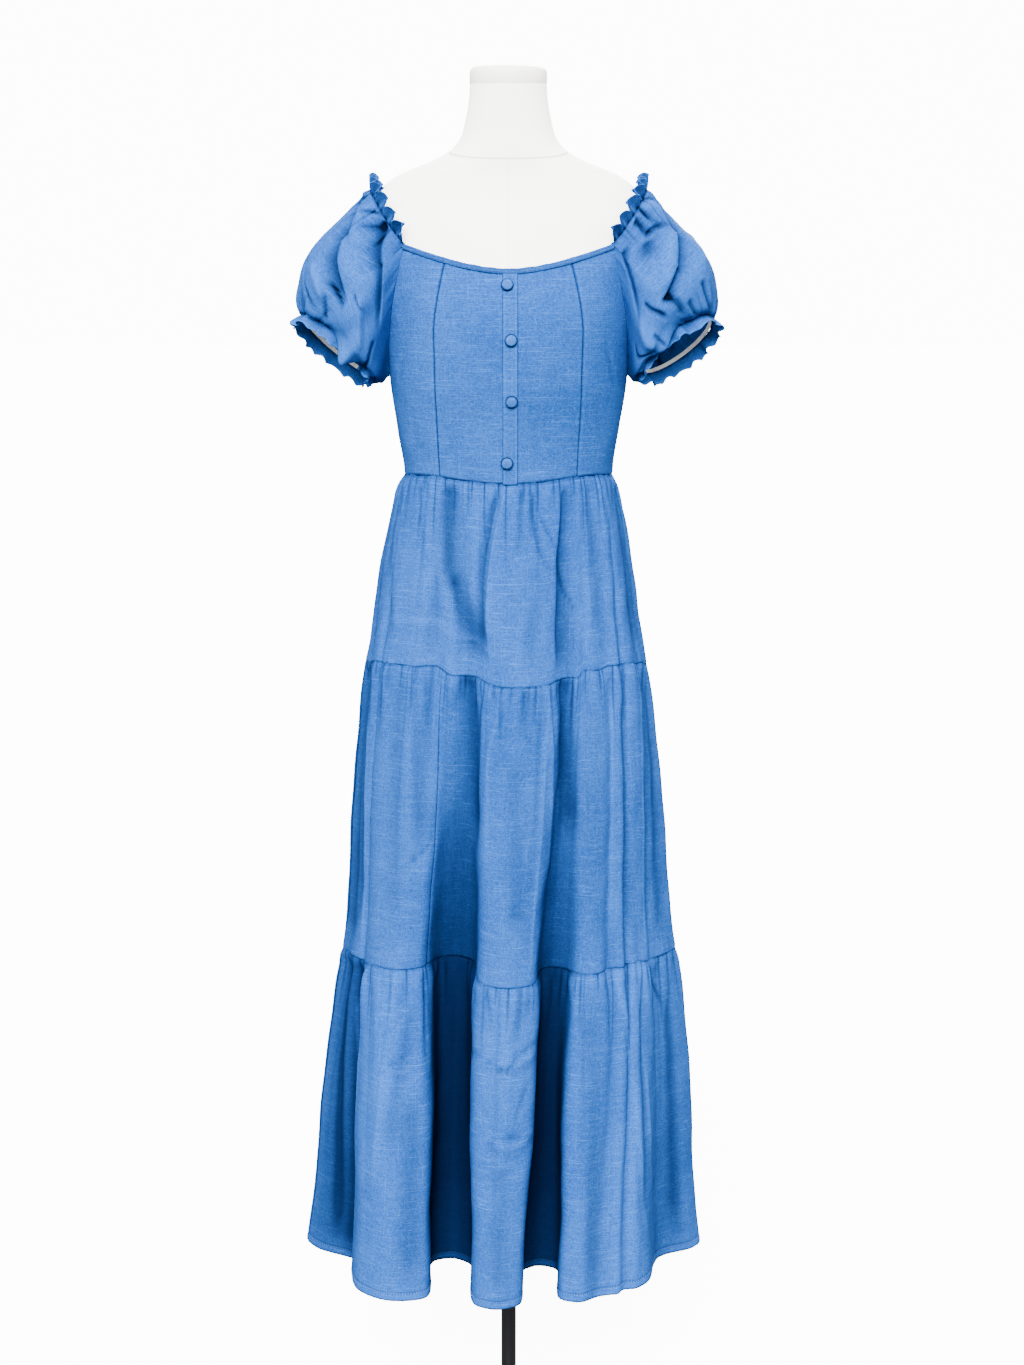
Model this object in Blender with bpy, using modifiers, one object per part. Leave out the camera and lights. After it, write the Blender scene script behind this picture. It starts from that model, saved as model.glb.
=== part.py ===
"""Tiered midi dress in chambray, worn by a limbless dress form on a pole and a round base.

Metres, +Z up. The front faces -Y, the wearer's right arm is at -X, and the origin is the centre of
the base's underside. "depth" below is the distance in front of the pole's axis, so it is -Y.
"""

import math

import bmesh
import bpy
from mathutils import Vector

# Heights of the seams
HEM_Z = 0.260
TIER3_SEAM_Z = 0.643
TIER2_SEAM_Z = 1.001
WAIST_Z = 1.226
UNDERARM_Z = 1.342
NECK_CENTRE_Z = 1.4670
NECK_CORNER_Z = 1.4965
BACK_NECK_Z = 1.4980
BACK_CORNER_Z = 1.5080

# Cloth walls, and the gaps that keep neighbours apart
WALL = 0.0014
STRIP_WALL = 0.0011
SEAM_GAP = 0.0004
SEAM_RISE = 0.0006
WAIST_RISE = 0.0001
TURNED_GAP = 0.0009
LAID_GAP = 0.0008
EDGE_COLUMN = 0.12
PANEL_JOIN_SHARE = 0.52

# Places on the bodice, as distances from the centre front
PRINCESS_X_NECK = 0.072
PRINCESS_X_BUST = 0.0855
PRINCESS_X_WAIST = 0.0795
PRINCESS_NECK_Z = 1.474
PRINCESS_BUST_Z = 1.393
CORNER_X = 0.1215
BACK_CORNER_X = 0.1260
PLACKET_LEFT_X = -0.0065
PLACKET_RIGHT_X = 0.0110
BAND_HEIGHT = 0.0062
BUTTON_RADIUS = 0.0073
BUTTON_HEIGHT = 0.0042

# Each button: x, height, and its gap to the placket, which is wider where the waist is hollow
BUTTONS = (
    (-0.0012, 1.449, 0.0006),
    (0.0030, 1.388, 0.0007),
    (0.0036, 1.319, 0.0008),
    (-0.0016, 1.248, 0.0011),
)

# Stand
BASE_RADIUS = 0.160
BASE_THICKNESS = 0.012
POLE_RADIUS = 0.0093
SOCKET_RADIUS = 0.021
SOCKET_HEIGHT = 0.034
TORSO_BOTTOM_Z = 0.940
NECK_TOP_Z = 1.6735
CAP_TOP_Z = 1.6955
NECK_RADIUS = 0.0445

# One row for each section of the form: height, half width, front depth, back depth, and the ease by
# which the bodice's inner face stands off it.
BODY_SECTIONS = (
    (TORSO_BOTTOM_Z, 0.1340, 0.0930, 0.0970, 0.0013),
    (0.955, 0.1415, 0.0990, 0.1050, 0.0013),
    (1.020, 0.1440, 0.1010, 0.1100, 0.0013),
    (1.100, 0.1390, 0.0980, 0.1060, 0.0013),
    (1.170, 0.1270, 0.0940, 0.0920, 0.0013),
    (WAIST_Z, 0.1200, 0.0920, 0.0840, 0.0015),
    (1.280, 0.1265, 0.0990, 0.0880, 0.0028),
    (UNDERARM_Z, 0.1340, 0.1115, 0.0940, 0.0040),
    (1.400, 0.1385, 0.1160, 0.0980, 0.0035),
    (1.465, 0.1460, 0.1010, 0.0990, 0.0028),
    (1.500, 0.1530, 0.0835, 0.0940, 0.0026),
    (1.528, 0.1585, 0.0650, 0.0830, 0.0026),
    (1.546, 0.1570, 0.0530, 0.0720, 0.0026),
    (1.560, 0.1450, 0.0480, 0.0640, 0.0026),
    (1.573, 0.1260, 0.0455, 0.0590, 0.0026),
    (1.588, 0.0900, 0.0460, 0.0560, 0.0026),
    (1.600, 0.0670, 0.0470, 0.0530, 0.0026),
    (1.620, 0.0530, 0.0455, 0.0475, 0.0026),
    (NECK_TOP_Z, NECK_RADIUS, NECK_RADIUS, NECK_RADIUS, 0.0026),
)

# The skirt's folds from the left side seam round the front to the back, one row each: the name, the
# way that the fold faces in degrees from the front, and 1 for a ridge or -1 for a valley.
FOLDS = (
    ("left_side_ridge", -92, 1),
    ("left_side_valley", -62, -1),
    ("left_front_ridge", -15, 1),
    ("left_deep_valley", -12, -1),
    ("centre_ridge", 0, 1),
    ("right_deep_valley", 8, -1),
    ("right_front_ridge", 10, 1),
    ("right_shallow_valley", 18, -1),
    ("right_outer_ridge", 32, 1),
    ("right_side_valley", 60, -1),
    ("right_side_ridge", 90, 1),
    ("right_back_valley", 112, -1),
    ("right_back_ridge", 136, 1),
    ("right_inner_valley", 158, -1),
    ("back_ridge_right", 168, 1),
    ("centre_back_valley", 180, -1),
    ("back_ridge_left", 190, 1),
    ("left_inner_valley", 203, -1),
    ("left_back_ridge", 226, 1),
    ("left_back_valley", 248, -1),
)
RIGHT_SIDE_FOLD = 10

# Where each fold lies on a seam, in the same order: x, depth, half its width, and how far the seam
# is lifted there above its own height.
TIER2_SEAM = (
    (-0.172, -0.012, 0.018, 0.000),
    (-0.148, 0.055, 0.008, 0.009),
    (-0.108, 0.098, 0.022, 0.011),
    (-0.050, 0.106, 0.012, 0.002),
    (0.012, 0.142, 0.030, -0.006),
    (0.072, 0.104, 0.007, -0.001),
    (0.098, 0.103, 0.008, 0.007),
    (0.122, 0.085, 0.005, 0.010),
    (0.139, 0.068, 0.007, 0.009),
    (0.154, 0.038, 0.007, 0.005),
    (0.166, -0.012, 0.018, -0.003),
    (0.148, -0.066, 0.010, 0.000),
    (0.119, -0.102, 0.018, 0.002),
    (0.078, -0.118, 0.010, 0.000),
    (0.041, -0.143, 0.016, -0.002),
    (0.002, -0.126, 0.012, 0.000),
    (-0.044, -0.145, 0.018, -0.003),
    (-0.085, -0.116, 0.010, 0.001),
    (-0.121, -0.103, 0.018, 0.003),
    (-0.152, -0.064, 0.010, 0.001),
)
TIER3_SEAM = (
    (-0.204, -0.020, 0.018, -0.002),
    (-0.174, 0.036, 0.007, -0.002),
    (-0.138, 0.090, 0.027, 0.002),
    (-0.062, 0.042, 0.014, 0.005),
    (0.000, 0.144, 0.026, -0.005),
    (0.052, 0.076, 0.010, 0.001),
    (0.100, 0.108, 0.013, 0.001),
    (0.130, 0.074, 0.006, 0.001),
    (0.150, 0.061, 0.009, 0.001),
    (0.171, 0.034, 0.007, -0.002),
    (0.205, -0.016, 0.018, -0.001),
    (0.180, -0.064, 0.012, 0.000),
    (0.150, -0.114, 0.020, 0.002),
    (0.102, -0.098, 0.014, 0.004),
    (0.063, -0.156, 0.022, -0.002),
    (0.018, -0.104, 0.014, 0.003),
    (-0.031, -0.162, 0.024, -0.004),
    (-0.082, -0.100, 0.014, 0.003),
    (-0.131, -0.126, 0.022, 0.002),
    (-0.175, -0.066, 0.012, 0.000),
)
HEM = (
    (-0.254, -0.022, 0.022, -0.001),
    (-0.194, 0.046, 0.010, 0.000),
    (-0.143, 0.166, 0.038, 0.000),
    (-0.067, 0.062, 0.016, 0.009),
    (-0.014, 0.183, 0.020, -0.004),
    (0.036, 0.068, 0.014, 0.002),
    (0.086, 0.168, 0.017, -0.001),
    (0.121, 0.143, 0.008, -0.001),
    (0.152, 0.131, 0.017, 0.000),
    (0.185, 0.040, 0.008, 0.000),
    (0.240, -0.014, 0.024, 0.001),
    (0.202, -0.080, 0.014, 0.002),
    (0.180, -0.148, 0.026, 0.000),
    (0.120, -0.106, 0.016, 0.004),
    (0.079, -0.200, 0.028, -0.003),
    (0.024, -0.110, 0.016, 0.004),
    (-0.031, -0.206, 0.030, -0.004),
    (-0.088, -0.104, 0.018, 0.004),
    (-0.149, -0.164, 0.028, 0.000),
    (-0.204, -0.084, 0.014, 0.002),
)
FOLD_ROUNDNESS = 0.42
WAIST_CENTRE_DROP = 0.0030
WAIST_SIDE_LIFT = 0.0045

# Each tier: gathers round its top, their height, and how far down it they fade out
TIER1_GATHERS = (40, 0.0030, 0.45)
TIER2_GATHERS = (44, 0.0040, 0.34)
TIER3_GATHERS = (44, 0.0045, 0.32)
FACES_PER_GATHER = 3
TIER_ROWS = (0.0, 0.34, 0.66, 0.88, 1.0)

# Sleeves, as lengths for the one at -X: x, depth and height of the cuff's middle, the angle of its
# long axis from level, half its length, half its depth, and the forward side's shift in x and height
SHOULDER_X = 0.1600
SHOULDER_Z = 1.5570
CUFF_LEFT = (-0.1975, 0.010, 1.3780, 39.0, 0.0535, 0.0430, 0.006, 0.012)
CUFF_RIGHT = (-0.1945, 0.012, 1.3785, 38.0, 0.0520, 0.0430, 0.016, 0.012)
SLEEVE_AXIS = (-0.150, 0.002, 1.470)
CUFF_FRILL = 0.0165
CUFF_FRILL_WAVES = 14
CUFF_FRILL_WAVE = 0.0044
CUFF_FRILL_FLARE = 0.0020
NECK_FRILL = 0.0175
NECK_FRILL_WAVES = 12
NECK_FRILL_LIFT = 0.75
NECK_FRILL_WAVE = 0.0052
SLEEVE_FOLDS = 10
ELASTIC_WIDTH = 0.005
ELASTIC_WALL = 0.0009
ELASTIC_GAP = 0.0003
ELASTIC_SHARE = 0.32

# Colours are the cloth's and the stand's own, as plain base colours
CHAMBRAY = (0.105, 0.235, 0.480, 1.0)
FORM_CLOTH = (0.86, 0.86, 0.82, 1.0)
CAP_COLOUR = (0.82, 0.80, 0.74, 1.0)
STEEL_BLACK = (0.015, 0.015, 0.016, 1.0)
ELASTIC_WHITE = (0.85, 0.85, 0.83, 1.0)


def clear_scene():
    """Remove everything that the file opened with."""
    for thing in list(bpy.data.objects):
        bpy.data.objects.remove(thing, do_unlink=True)


def material(name, colour, roughness, metallic=0.0):
    """A Principled material of one colour."""
    made = bpy.data.materials.new(name)
    made.use_nodes = True
    shader = made.node_tree.nodes["Principled BSDF"]
    shader.inputs["Base Color"].default_value = colour
    shader.inputs["Roughness"].default_value = roughness
    shader.inputs["Metallic"].default_value = metallic
    made.diffuse_color = colour
    return made


def blend(low, high, share):
    """The value that lies at share between low and high."""
    return low + (high - low) * share


def smooth_table(rows, place, column):
    """The value in a column of rows sorted by their first number, joined by a smooth curve."""
    last = len(rows) - 1
    place = min(max(place, rows[0][0]), rows[last][0])
    upper = 1
    while upper < last and rows[upper][0] < place:
        upper += 1
    lower = upper - 1

    def slope(index):
        before = max(index - 1, 0)
        after = min(index + 1, last)
        rise_in = rows[index][column] - rows[before][column]
        rise_out = rows[after][column] - rows[index][column]
        if before == index or after == index or rise_in * rise_out <= 0:
            return 0.0
        slope_in = rise_in / (rows[index][0] - rows[before][0])
        slope_out = rise_out / (rows[after][0] - rows[index][0])
        return 2 * slope_in * slope_out / (slope_in + slope_out)

    step = rows[upper][0] - rows[lower][0]
    share = (place - rows[lower][0]) / step
    start = rows[lower][column]
    end = rows[upper][column]
    pull_start = slope(lower) * step
    pull_end = slope(upper) * step
    return (
        (2 * share ** 3 - 3 * share ** 2 + 1) * start
        + (share ** 3 - 2 * share ** 2 + share) * pull_start
        + (3 * share ** 2 - 2 * share ** 3) * end
        + (share ** 3 - share ** 2) * pull_end
    )


def closed_curve(points, marks, place):
    """A point of the smooth closed curve through points, whose places from 0 to 1 are marks."""
    count = len(points)
    place = place % 1.0
    index = count - 1
    while marks[index] > place:
        index -= 1

    def point(at):
        return points[at % count]

    def mark(at):
        return marks[at % count] + at // count

    def pull(at):
        step_in = mark(at) - mark(at - 1)
        step_out = mark(at + 1) - mark(at)
        into = (point(at) - point(at - 1)) / step_in
        out = (point(at + 1) - point(at)) / step_out
        return (into * step_out + out * step_in) / (step_in + step_out)

    step = mark(index + 1) - mark(index)
    share = (place - mark(index)) / step
    return (
        point(index) * (2 * share ** 3 - 3 * share ** 2 + 1)
        + pull(index) * step * (share ** 3 - 2 * share ** 2 + share)
        + point(index + 1) * (3 * share ** 2 - 2 * share ** 3)
        + pull(index + 1) * step * (share ** 3 - share ** 2)
    )


def grid_object(name, columns, rows, place, look, wall=None, joined=False, flipped=False):
    """A grid of columns by rows faces laid at place(u, v), with a wall's thickness on its inner side.

    u runs round the body from left by the front to the right, and v runs upwards.
    """
    mesh = bpy.data.meshes.new(name)
    grid = bmesh.new()
    bmesh.ops.create_grid(grid, x_segments=columns, y_segments=rows, size=0.5)
    for vertex in grid.verts:
        column = round((vertex.co.x + 0.5) * columns)
        row = round((vertex.co.y + 0.5) * rows)
        vertex.co = place(column / columns, row / rows)
    if joined:
        bmesh.ops.remove_doubles(grid, verts=grid.verts, dist=0.000005)
    if flipped:
        bmesh.ops.reverse_faces(grid, faces=grid.faces)
    grid.to_mesh(mesh)
    grid.free()
    mesh.shade_smooth()
    made = bpy.data.objects.new(name, mesh)
    mesh.materials.append(look)
    if wall:
        shell = made.modifiers.new("wall", "SOLIDIFY")
        shell.thickness = wall
        shell.offset = -1.0
        shell.use_even_offset = False
    DRESS.objects.link(made)
    return made


def turned_object(name, profile, steps, look):
    """A solid turned about Z from a profile that runs down its outer side, from axis to axis."""
    mesh = bpy.data.meshes.new(name)
    line = bmesh.new()
    corners = [line.verts.new((radius, 0.0, height)) for radius, height in profile]
    for start, end in zip(corners, corners[1:]):
        line.edges.new((start, end))
    line.to_mesh(mesh)
    line.free()
    mesh.materials.append(look)
    made = bpy.data.objects.new(name, mesh)
    turn = made.modifiers.new("turn", "SCREW")
    turn.steps = steps
    turn.render_steps = steps
    turn.use_merge_vertices = True
    turn.merge_threshold = 0.00001
    DRESS.objects.link(made)
    return made


def body_point(turn, height, stand_off):
    """The point stand_off outside the form's section at a height, at turn degrees from the front."""
    half_width = smooth_table(BODY_SECTIONS, height, 1) + stand_off
    column = 2 if abs(turn) <= 90 else 3
    depth = smooth_table(BODY_SECTIONS, height, column) + stand_off
    angle = math.radians(turn)
    return Vector((half_width * math.sin(angle), -depth * math.cos(angle), height))


def turn_at(x, height, stand_off):
    """The turn in degrees at which the section at a height reaches x, on the front half."""
    half_width = smooth_table(BODY_SECTIONS, height, 1) + stand_off
    return math.degrees(math.asin(max(-1.0, min(1.0, x / half_width))))


def cloth_off(height):
    """How far the bodice's outer face stands off the form at a height."""
    return smooth_table(BODY_SECTIONS, height, 4) + WALL


def waist_height(turn):
    """Height of the waist seam, which dips at the front and lifts beside it."""
    front = math.cos(math.radians(turn))
    return WAIST_Z - WAIST_CENTRE_DROP * max(front, 0.0) ** 2 + WAIST_SIDE_LIFT * math.sin(
        math.radians(2 * turn)
    ) ** 2 * (1 if front > 0 else 0.3)


def front_neck_height(x):
    """Height of the front neckline, which rises from the centre to its two corners."""
    return blend(NECK_CENTRE_Z, NECK_CORNER_Z, min(1.0, abs(x) / CORNER_X) ** 1.7)


SEAM_TURN = math.degrees(SEAM_GAP / 2 / 0.11)
CORNER_TURN = turn_at(CORNER_X, NECK_CORNER_Z, cloth_off(NECK_CORNER_Z))
BACK_CORNER_TURN = 180 - turn_at(BACK_CORNER_X, BACK_CORNER_Z, cloth_off(BACK_CORNER_Z))


def bodice_top(turn):
    """Height of the bodice's upper edge: the neckline, then the armhole, then the back's."""
    around = abs(turn)
    if around <= CORNER_TURN:
        x = math.sin(math.radians(around)) * (smooth_table(BODY_SECTIONS, 1.48, 1) + WALL)
        return front_neck_height(x)
    if around <= 90:
        share = (around - CORNER_TURN) / (90 - CORNER_TURN)
        return blend(UNDERARM_Z, NECK_CORNER_Z, (1 - share) ** 1.2)
    if around <= BACK_CORNER_TURN:
        share = (BACK_CORNER_TURN - around) / (BACK_CORNER_TURN - 90)
        return blend(UNDERARM_Z, BACK_CORNER_Z, (1 - share) ** 1.2)
    share = (around - BACK_CORNER_TURN) / (180 - BACK_CORNER_TURN)
    return blend(BACK_CORNER_Z, BACK_NECK_Z, share)


def princess_turn(height):
    """Turn of the right princess seam at a height."""
    if height > PRINCESS_BUST_Z:
        share = min(1.0, (height - PRINCESS_BUST_Z) / (PRINCESS_NECK_Z - PRINCESS_BUST_Z))
        x = blend(PRINCESS_X_BUST, PRINCESS_X_NECK, share ** 1.6)
    else:
        share = (PRINCESS_BUST_Z - height) / (PRINCESS_BUST_Z - WAIST_Z)
        x = blend(PRINCESS_X_BUST, PRINCESS_X_WAIST, min(1.0, share) ** 1.4)
    return turn_at(x, height, cloth_off(height))


def bodice_panel(name, turn_start, turn_end, shares, rows, look):
    """A bodice panel between two seams, each a function that gives its turn at a height.

    shares lists the parts of the width at which its columns lie, so that one meets each corner.
    """
    columns = len(shares) - 1

    def place(u, v):
        share = shares[round(u * columns)]
        top_turn = blend(turn_start(NECK_CENTRE_Z), turn_end(NECK_CENTRE_Z), share)
        low_turn = blend(turn_start(WAIST_Z), turn_end(WAIST_Z), share)
        low = waist_height(low_turn) + SEAM_GAP
        height = blend(low, bodice_top(top_turn), v)
        start = turn_start(height) + SEAM_TURN
        end = turn_end(height) - SEAM_TURN
        return body_point(blend(start, end, share), height, cloth_off(height))

    return grid_object(name, columns, rows, place, look, wall=WALL)


def build_bodice(look):
    """The four front panels and the plain back."""
    corner_share = (CORNER_TURN - princess_turn(NECK_CENTRE_Z)) / (90 - princess_turn(NECK_CENTRE_Z))
    side_shares = [0.0, 0.02, corner_share / 2, corner_share]
    side_shares += [blend(corner_share, 1.0, share) for share in (0.2, 0.45, 0.72, 0.97, 1.0)]
    centre_shares = [0.0, 0.12, 0.38, 0.68, 0.98, 1.0]
    mirrored_side = [1 - share for share in reversed(side_shares)]
    mirrored_centre = [1 - share for share in reversed(centre_shares)]
    bodice_panel("bodice_side_front_left", lambda z: -90, lambda z: -princess_turn(z),
                 mirrored_side, 7, look)
    bodice_panel("bodice_centre_front_left", lambda z: -princess_turn(z), lambda z: 0,
                 mirrored_centre, 7, look)
    bodice_panel("bodice_centre_front_right", lambda z: 0, princess_turn, centre_shares, 7, look)
    bodice_panel("bodice_side_front_right", princess_turn, lambda z: 90, side_shares, 7, look)
    reach = (BACK_CORNER_TURN - 90) / 180
    side = [reach * share for share in (0.0, 0.03, 0.27, 0.51, 0.75, 1.0)]
    middle = [blend(reach, 1 - reach, share) for share in (0.16, 0.33, 0.5, 0.67, 0.84)]
    bodice_back(side + middle + [1 - share for share in reversed(side)], look)


def bodice_back(shares, look):
    """The back panel, from the right side seam round the back to the left one."""
    columns = len(shares) - 1

    def place(u, v):
        share = shares[round(u * columns)]
        turn = blend(90 + SEAM_TURN, 270 - SEAM_TURN, share)
        turn = turn if turn <= 180 else turn - 360
        low = waist_height(turn) + SEAM_GAP
        height = blend(low, bodice_top(turn), v)
        return body_point(turn, height, cloth_off(height))

    grid_object("bodice_back", columns, 6, place, look, wall=WALL)


def build_placket(look):
    """The strip that lies on the centre front from the waist to the neck band, and its buttons."""
    laid = LAID_GAP + STRIP_WALL

    def place(u, v):
        x = blend(PLACKET_LEFT_X, PLACKET_RIGHT_X, u)
        low = WAIST_Z - WAIST_CENTRE_DROP + SEAM_GAP
        height = blend(low, front_neck_height(x) - BAND_HEIGHT - SEAM_GAP, v)
        stand_off = cloth_off(height) + laid
        return body_point(turn_at(x, height, stand_off), height, stand_off)

    grid_object("button_placket", 3, 7, place, look, wall=STRIP_WALL)
    for number, (x, height, gap) in enumerate(BUTTONS, start=1):
        button = turned_object(f"button_{number}", (
            (0.0, BUTTON_HEIGHT),
            (0.45 * BUTTON_RADIUS, 0.92 * BUTTON_HEIGHT),
            (0.80 * BUTTON_RADIUS, 0.66 * BUTTON_HEIGHT),
            (BUTTON_RADIUS, 0.24 * BUTTON_HEIGHT),
            (0.95 * BUTTON_RADIUS, 0.0),
            (0.0, 0.0),
        ), 14, look)
        stand_off = cloth_off(height) + laid
        turn = turn_at(x, height, stand_off)
        here = body_point(turn, height, stand_off)
        above = body_point(turn, height + 0.006, stand_off)
        below = body_point(turn, height - 0.006, stand_off)
        beside = body_point(turn + 3, height, stand_off)
        outward = (beside - here).cross(above - below).normalized()
        button.rotation_euler = outward.to_track_quat("Z", "Y").to_euler()
        button.location = here + outward * gap


def build_neck_bands(look):
    """Narrow stitched bands laid on the upper edges of the front and the back."""
    laid = LAID_GAP + STRIP_WALL

    def band(name, turn_start, turn_end, columns):
        def place(u, v):
            turn = blend(turn_start, turn_end, u)
            turn = turn if turn <= 180 else turn - 360
            height = bodice_top(turn) - BAND_HEIGHT * (1 - v)
            return body_point(turn, height, cloth_off(height) + laid)

        grid_object(name, columns, 1, place, look, wall=STRIP_WALL)

    band("neckline_band_front", 0.5 - CORNER_TURN, CORNER_TURN - 0.5, 14)
    band("neckline_band_back", BACK_CORNER_TURN + 0.5, 360 - BACK_CORNER_TURN - 0.5, 10)


def seam_points(table, seam_z):
    """Three points of a seam for each fold: its two shoulders and its middle."""
    points = []
    for (name, faces, ridge), (x, depth, half, lift) in zip(FOLDS, table):
        angle = math.radians(faces)
        outward = Vector((math.sin(angle), -math.cos(angle), 0.0))
        along = Vector((math.cos(angle), math.sin(angle), 0.0))
        middle = Vector((x, -depth, seam_z + lift))
        inward = outward * (-FOLD_ROUNDNESS * half * ridge)
        points.append(middle - along * half + inward)
        points.append(middle)
        points.append(middle + along * half + inward)
    return points


def waist_points(below):
    """The waist seam's points, each at the same turn as the point of the next seam below it."""
    points = []
    for point in below:
        turn = math.degrees(math.atan2(point.x, -point.y))
        height = waist_height(turn)
        points.append(body_point(turn, height, cloth_off(height)))
    return points


def seam_marks(*levels):
    """The place from 0 to 1 of each point round the skirt, averaged over some seams."""
    count = len(levels[0])
    steps = [0.0] * count
    for level in levels:
        lengths = [(level[(index + 1) % count] - level[index]).length for index in range(count)]
        for index, length in enumerate(lengths):
            steps[index] += length / sum(lengths) / len(levels)
    marks = [0.0]
    for step in steps[:-1]:
        marks.append(marks[-1] + step)
    return marks


def tier(pieces, upper, lower, gathers, gap_above, gap_below, belly, look):
    """One tier, cut into named pieces at places round it, gathered into the seam above.

    pieces holds a row for each piece: its name, and the places where it starts and ends.
    """
    marks = seam_marks(upper, lower)
    count, depth, fade = gathers
    total = count * FACES_PER_GATHER
    side = marks[1]
    for name, start, end in pieces:
        first = round(start(marks) * total)
        last = round(end(marks) * total)
        stops = [first, first + EDGE_COLUMN] + list(range(first + 1, last)) + [last - EDGE_COLUMN, last]
        columns = len(stops) - 1

        def place(u, v, stops=stops, first=first, last=last):
            column = stops[round(u * (len(stops) - 1))]
            round_place = column / total + side
            v_down = 1 - TIER_ROWS[round(v * (len(TIER_ROWS) - 1))]
            top = closed_curve(upper, marks, round_place)
            bottom = closed_curve(lower, marks, round_place)
            point = top.lerp(bottom, v_down)
            ahead = closed_curve(upper, marks, round_place + 0.004).lerp(
                closed_curve(lower, marks, round_place + 0.004), v_down)
            behind = closed_curve(upper, marks, round_place - 0.004).lerp(
                closed_curve(lower, marks, round_place - 0.004), v_down)
            along = ahead - behind
            outward = Vector((along.y, -along.x, 0.0)).normalized()
            wave = 0.5 + 0.5 * math.cos(2 * math.pi * column / FACES_PER_GATHER)
            strength = max(0.0, 1 - v_down / fade) ** 0.8
            uneven = 1 + 0.35 * math.sin(column * 0.83) + 0.2 * math.sin(column * 0.31 + 1)
            point += outward * (wave * strength * depth * uneven)
            point += outward * (belly * math.sin(math.pi * min(1.0, v_down / 0.75)))
            if column < first + 1:
                point += along.normalized() * SEAM_GAP
            if column > last - 1:
                point -= along.normalized() * SEAM_GAP
            point.z -= gap_above * (1 - v_down)
            point.z += gap_below * v_down
            return point

        grid_object(name, columns, len(TIER_ROWS) - 1, place, look, wall=WALL)


def place_of_fold(index):
    """The place round the skirt, from the left side seam, of a fold's middle."""
    def find(marks):
        return marks[3 * index + 1] - marks[1]
    return find


def build_skirt(look):
    """The three gathered tiers."""
    tier2_seam = seam_points(TIER2_SEAM, TIER2_SEAM_Z)
    tier3_seam = seam_points(TIER3_SEAM, TIER3_SEAM_Z)
    hem = seam_points(HEM, HEM_Z)
    waist = waist_points(tier2_seam)

    def start(marks):
        return 0.0

    def end(marks):
        return 1.0

    def panel_join(marks):
        left = place_of_fold(2)(marks)
        right = place_of_fold(3)(marks)
        return blend(left, right, PANEL_JOIN_SHARE)

    right_side = place_of_fold(RIGHT_SIDE_FOLD)
    tier((("tier1_front", start, right_side), ("tier1_back", right_side, end)),
         waist, tier2_seam, TIER1_GATHERS, WAIST_RISE, SEAM_RISE, 0.003, look)
    tier((("tier2_front_left", start, panel_join), ("tier2_front_right", panel_join, right_side),
          ("tier2_back", right_side, end)),
         tier2_seam, tier3_seam, TIER2_GATHERS, SEAM_RISE, SEAM_RISE, 0.004, look)
    tier((("tier3_front", start, right_side), ("tier3_back", right_side, end)),
         tier3_seam, hem, TIER3_GATHERS, SEAM_RISE, 0.0, 0.005, look)


def mirrored(point, side):
    """A point of the sleeve at -X, or its mirror image where side is 1."""
    return Vector((point.x * -side, point.y, point.z))


def armhole_point(share, out):
    """A point just outside the armhole edge at -X, from the front corner (0) to the back one (1)."""
    turn = blend(CORNER_TURN, BACK_CORNER_TURN, share)
    height = bodice_top(turn)
    point = body_point(-turn, height, cloth_off(height))
    point.x -= out
    point.z += 0.4 * out
    return point


def form_reach(point):
    """1 on the form's surface, more outside it and less inside it."""
    half_width = smooth_table(BODY_SECTIONS, point.z, 1)
    column = 2 if point.y < 0 else 3
    depth = smooth_table(BODY_SECTIONS, point.z, column)
    return (point.x / half_width) ** 2 + (point.y / depth) ** 2


def form_normal(point):
    """The way that the form's surface faces near a point."""
    step = 0.002
    slopes = [form_reach(point + axis * step) - form_reach(point - axis * step)
              for axis in (Vector((1, 0, 0)), Vector((0, 1, 0)), Vector((0, 0, 1)))]
    return Vector(slopes).normalized()


def neck_elastic_point(share):
    """A point of the elastic neck edge at -X, from the back corner (0) over the shoulder to the front (1)."""
    front = armhole_point(0.0, TURNED_GAP)
    back = armhole_point(1.0, TURNED_GAP)
    rise = math.sin(math.pi * share)
    corner = back.lerp(front, share)
    x = blend(corner.x, -SHOULDER_X, rise ** 0.9)
    z = blend(corner.z, SHOULDER_Z, rise ** 1.15)
    return Vector((x, blend(back.y, front.y, 0.5 - 0.5 * math.cos(math.pi * share)), z))


def sleeve_top(place):
    """The sleeve's upper edge: 0 is the shoulder, then the front, 0.5 the underarm, then the back."""
    place = place % 1.0
    half = ELASTIC_SHARE / 2
    if place <= half:
        return neck_elastic_point(0.5 + 0.5 * place / half)
    if place >= 1 - half:
        return neck_elastic_point(0.5 * (place - 1 + half) / half)
    return armhole_point((place - half) / (1 - ELASTIC_SHARE), TURNED_GAP)


def cuff_frame(cuff):
    """The cuff's middle, its long and deep half axes, and the way that it opens."""
    x, depth, z, slant, half_length, half_depth, shift_x, shift_z = cuff
    angle = math.radians(slant)
    long_axis = Vector((-math.cos(angle), 0.0, math.sin(angle))) * half_length
    deep_axis = Vector((shift_x, -half_depth, shift_z))
    opens = long_axis.cross(deep_axis).normalized()
    if opens.z > 0:
        opens = -opens
    return Vector((x, -depth, z)), long_axis, deep_axis, opens


def cuff_point(cuff, place, grow=0.0, down=0.0):
    """A point of the cuff's elastic line, grown outwards and moved down the way that it opens."""
    middle, long_axis, deep_axis, opens = cuff_frame(cuff)
    turn = 2 * math.pi * place
    spoke = long_axis * math.cos(turn) + deep_axis * math.sin(turn)
    return middle + spoke + spoke.normalized() * grow + opens * down


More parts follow.
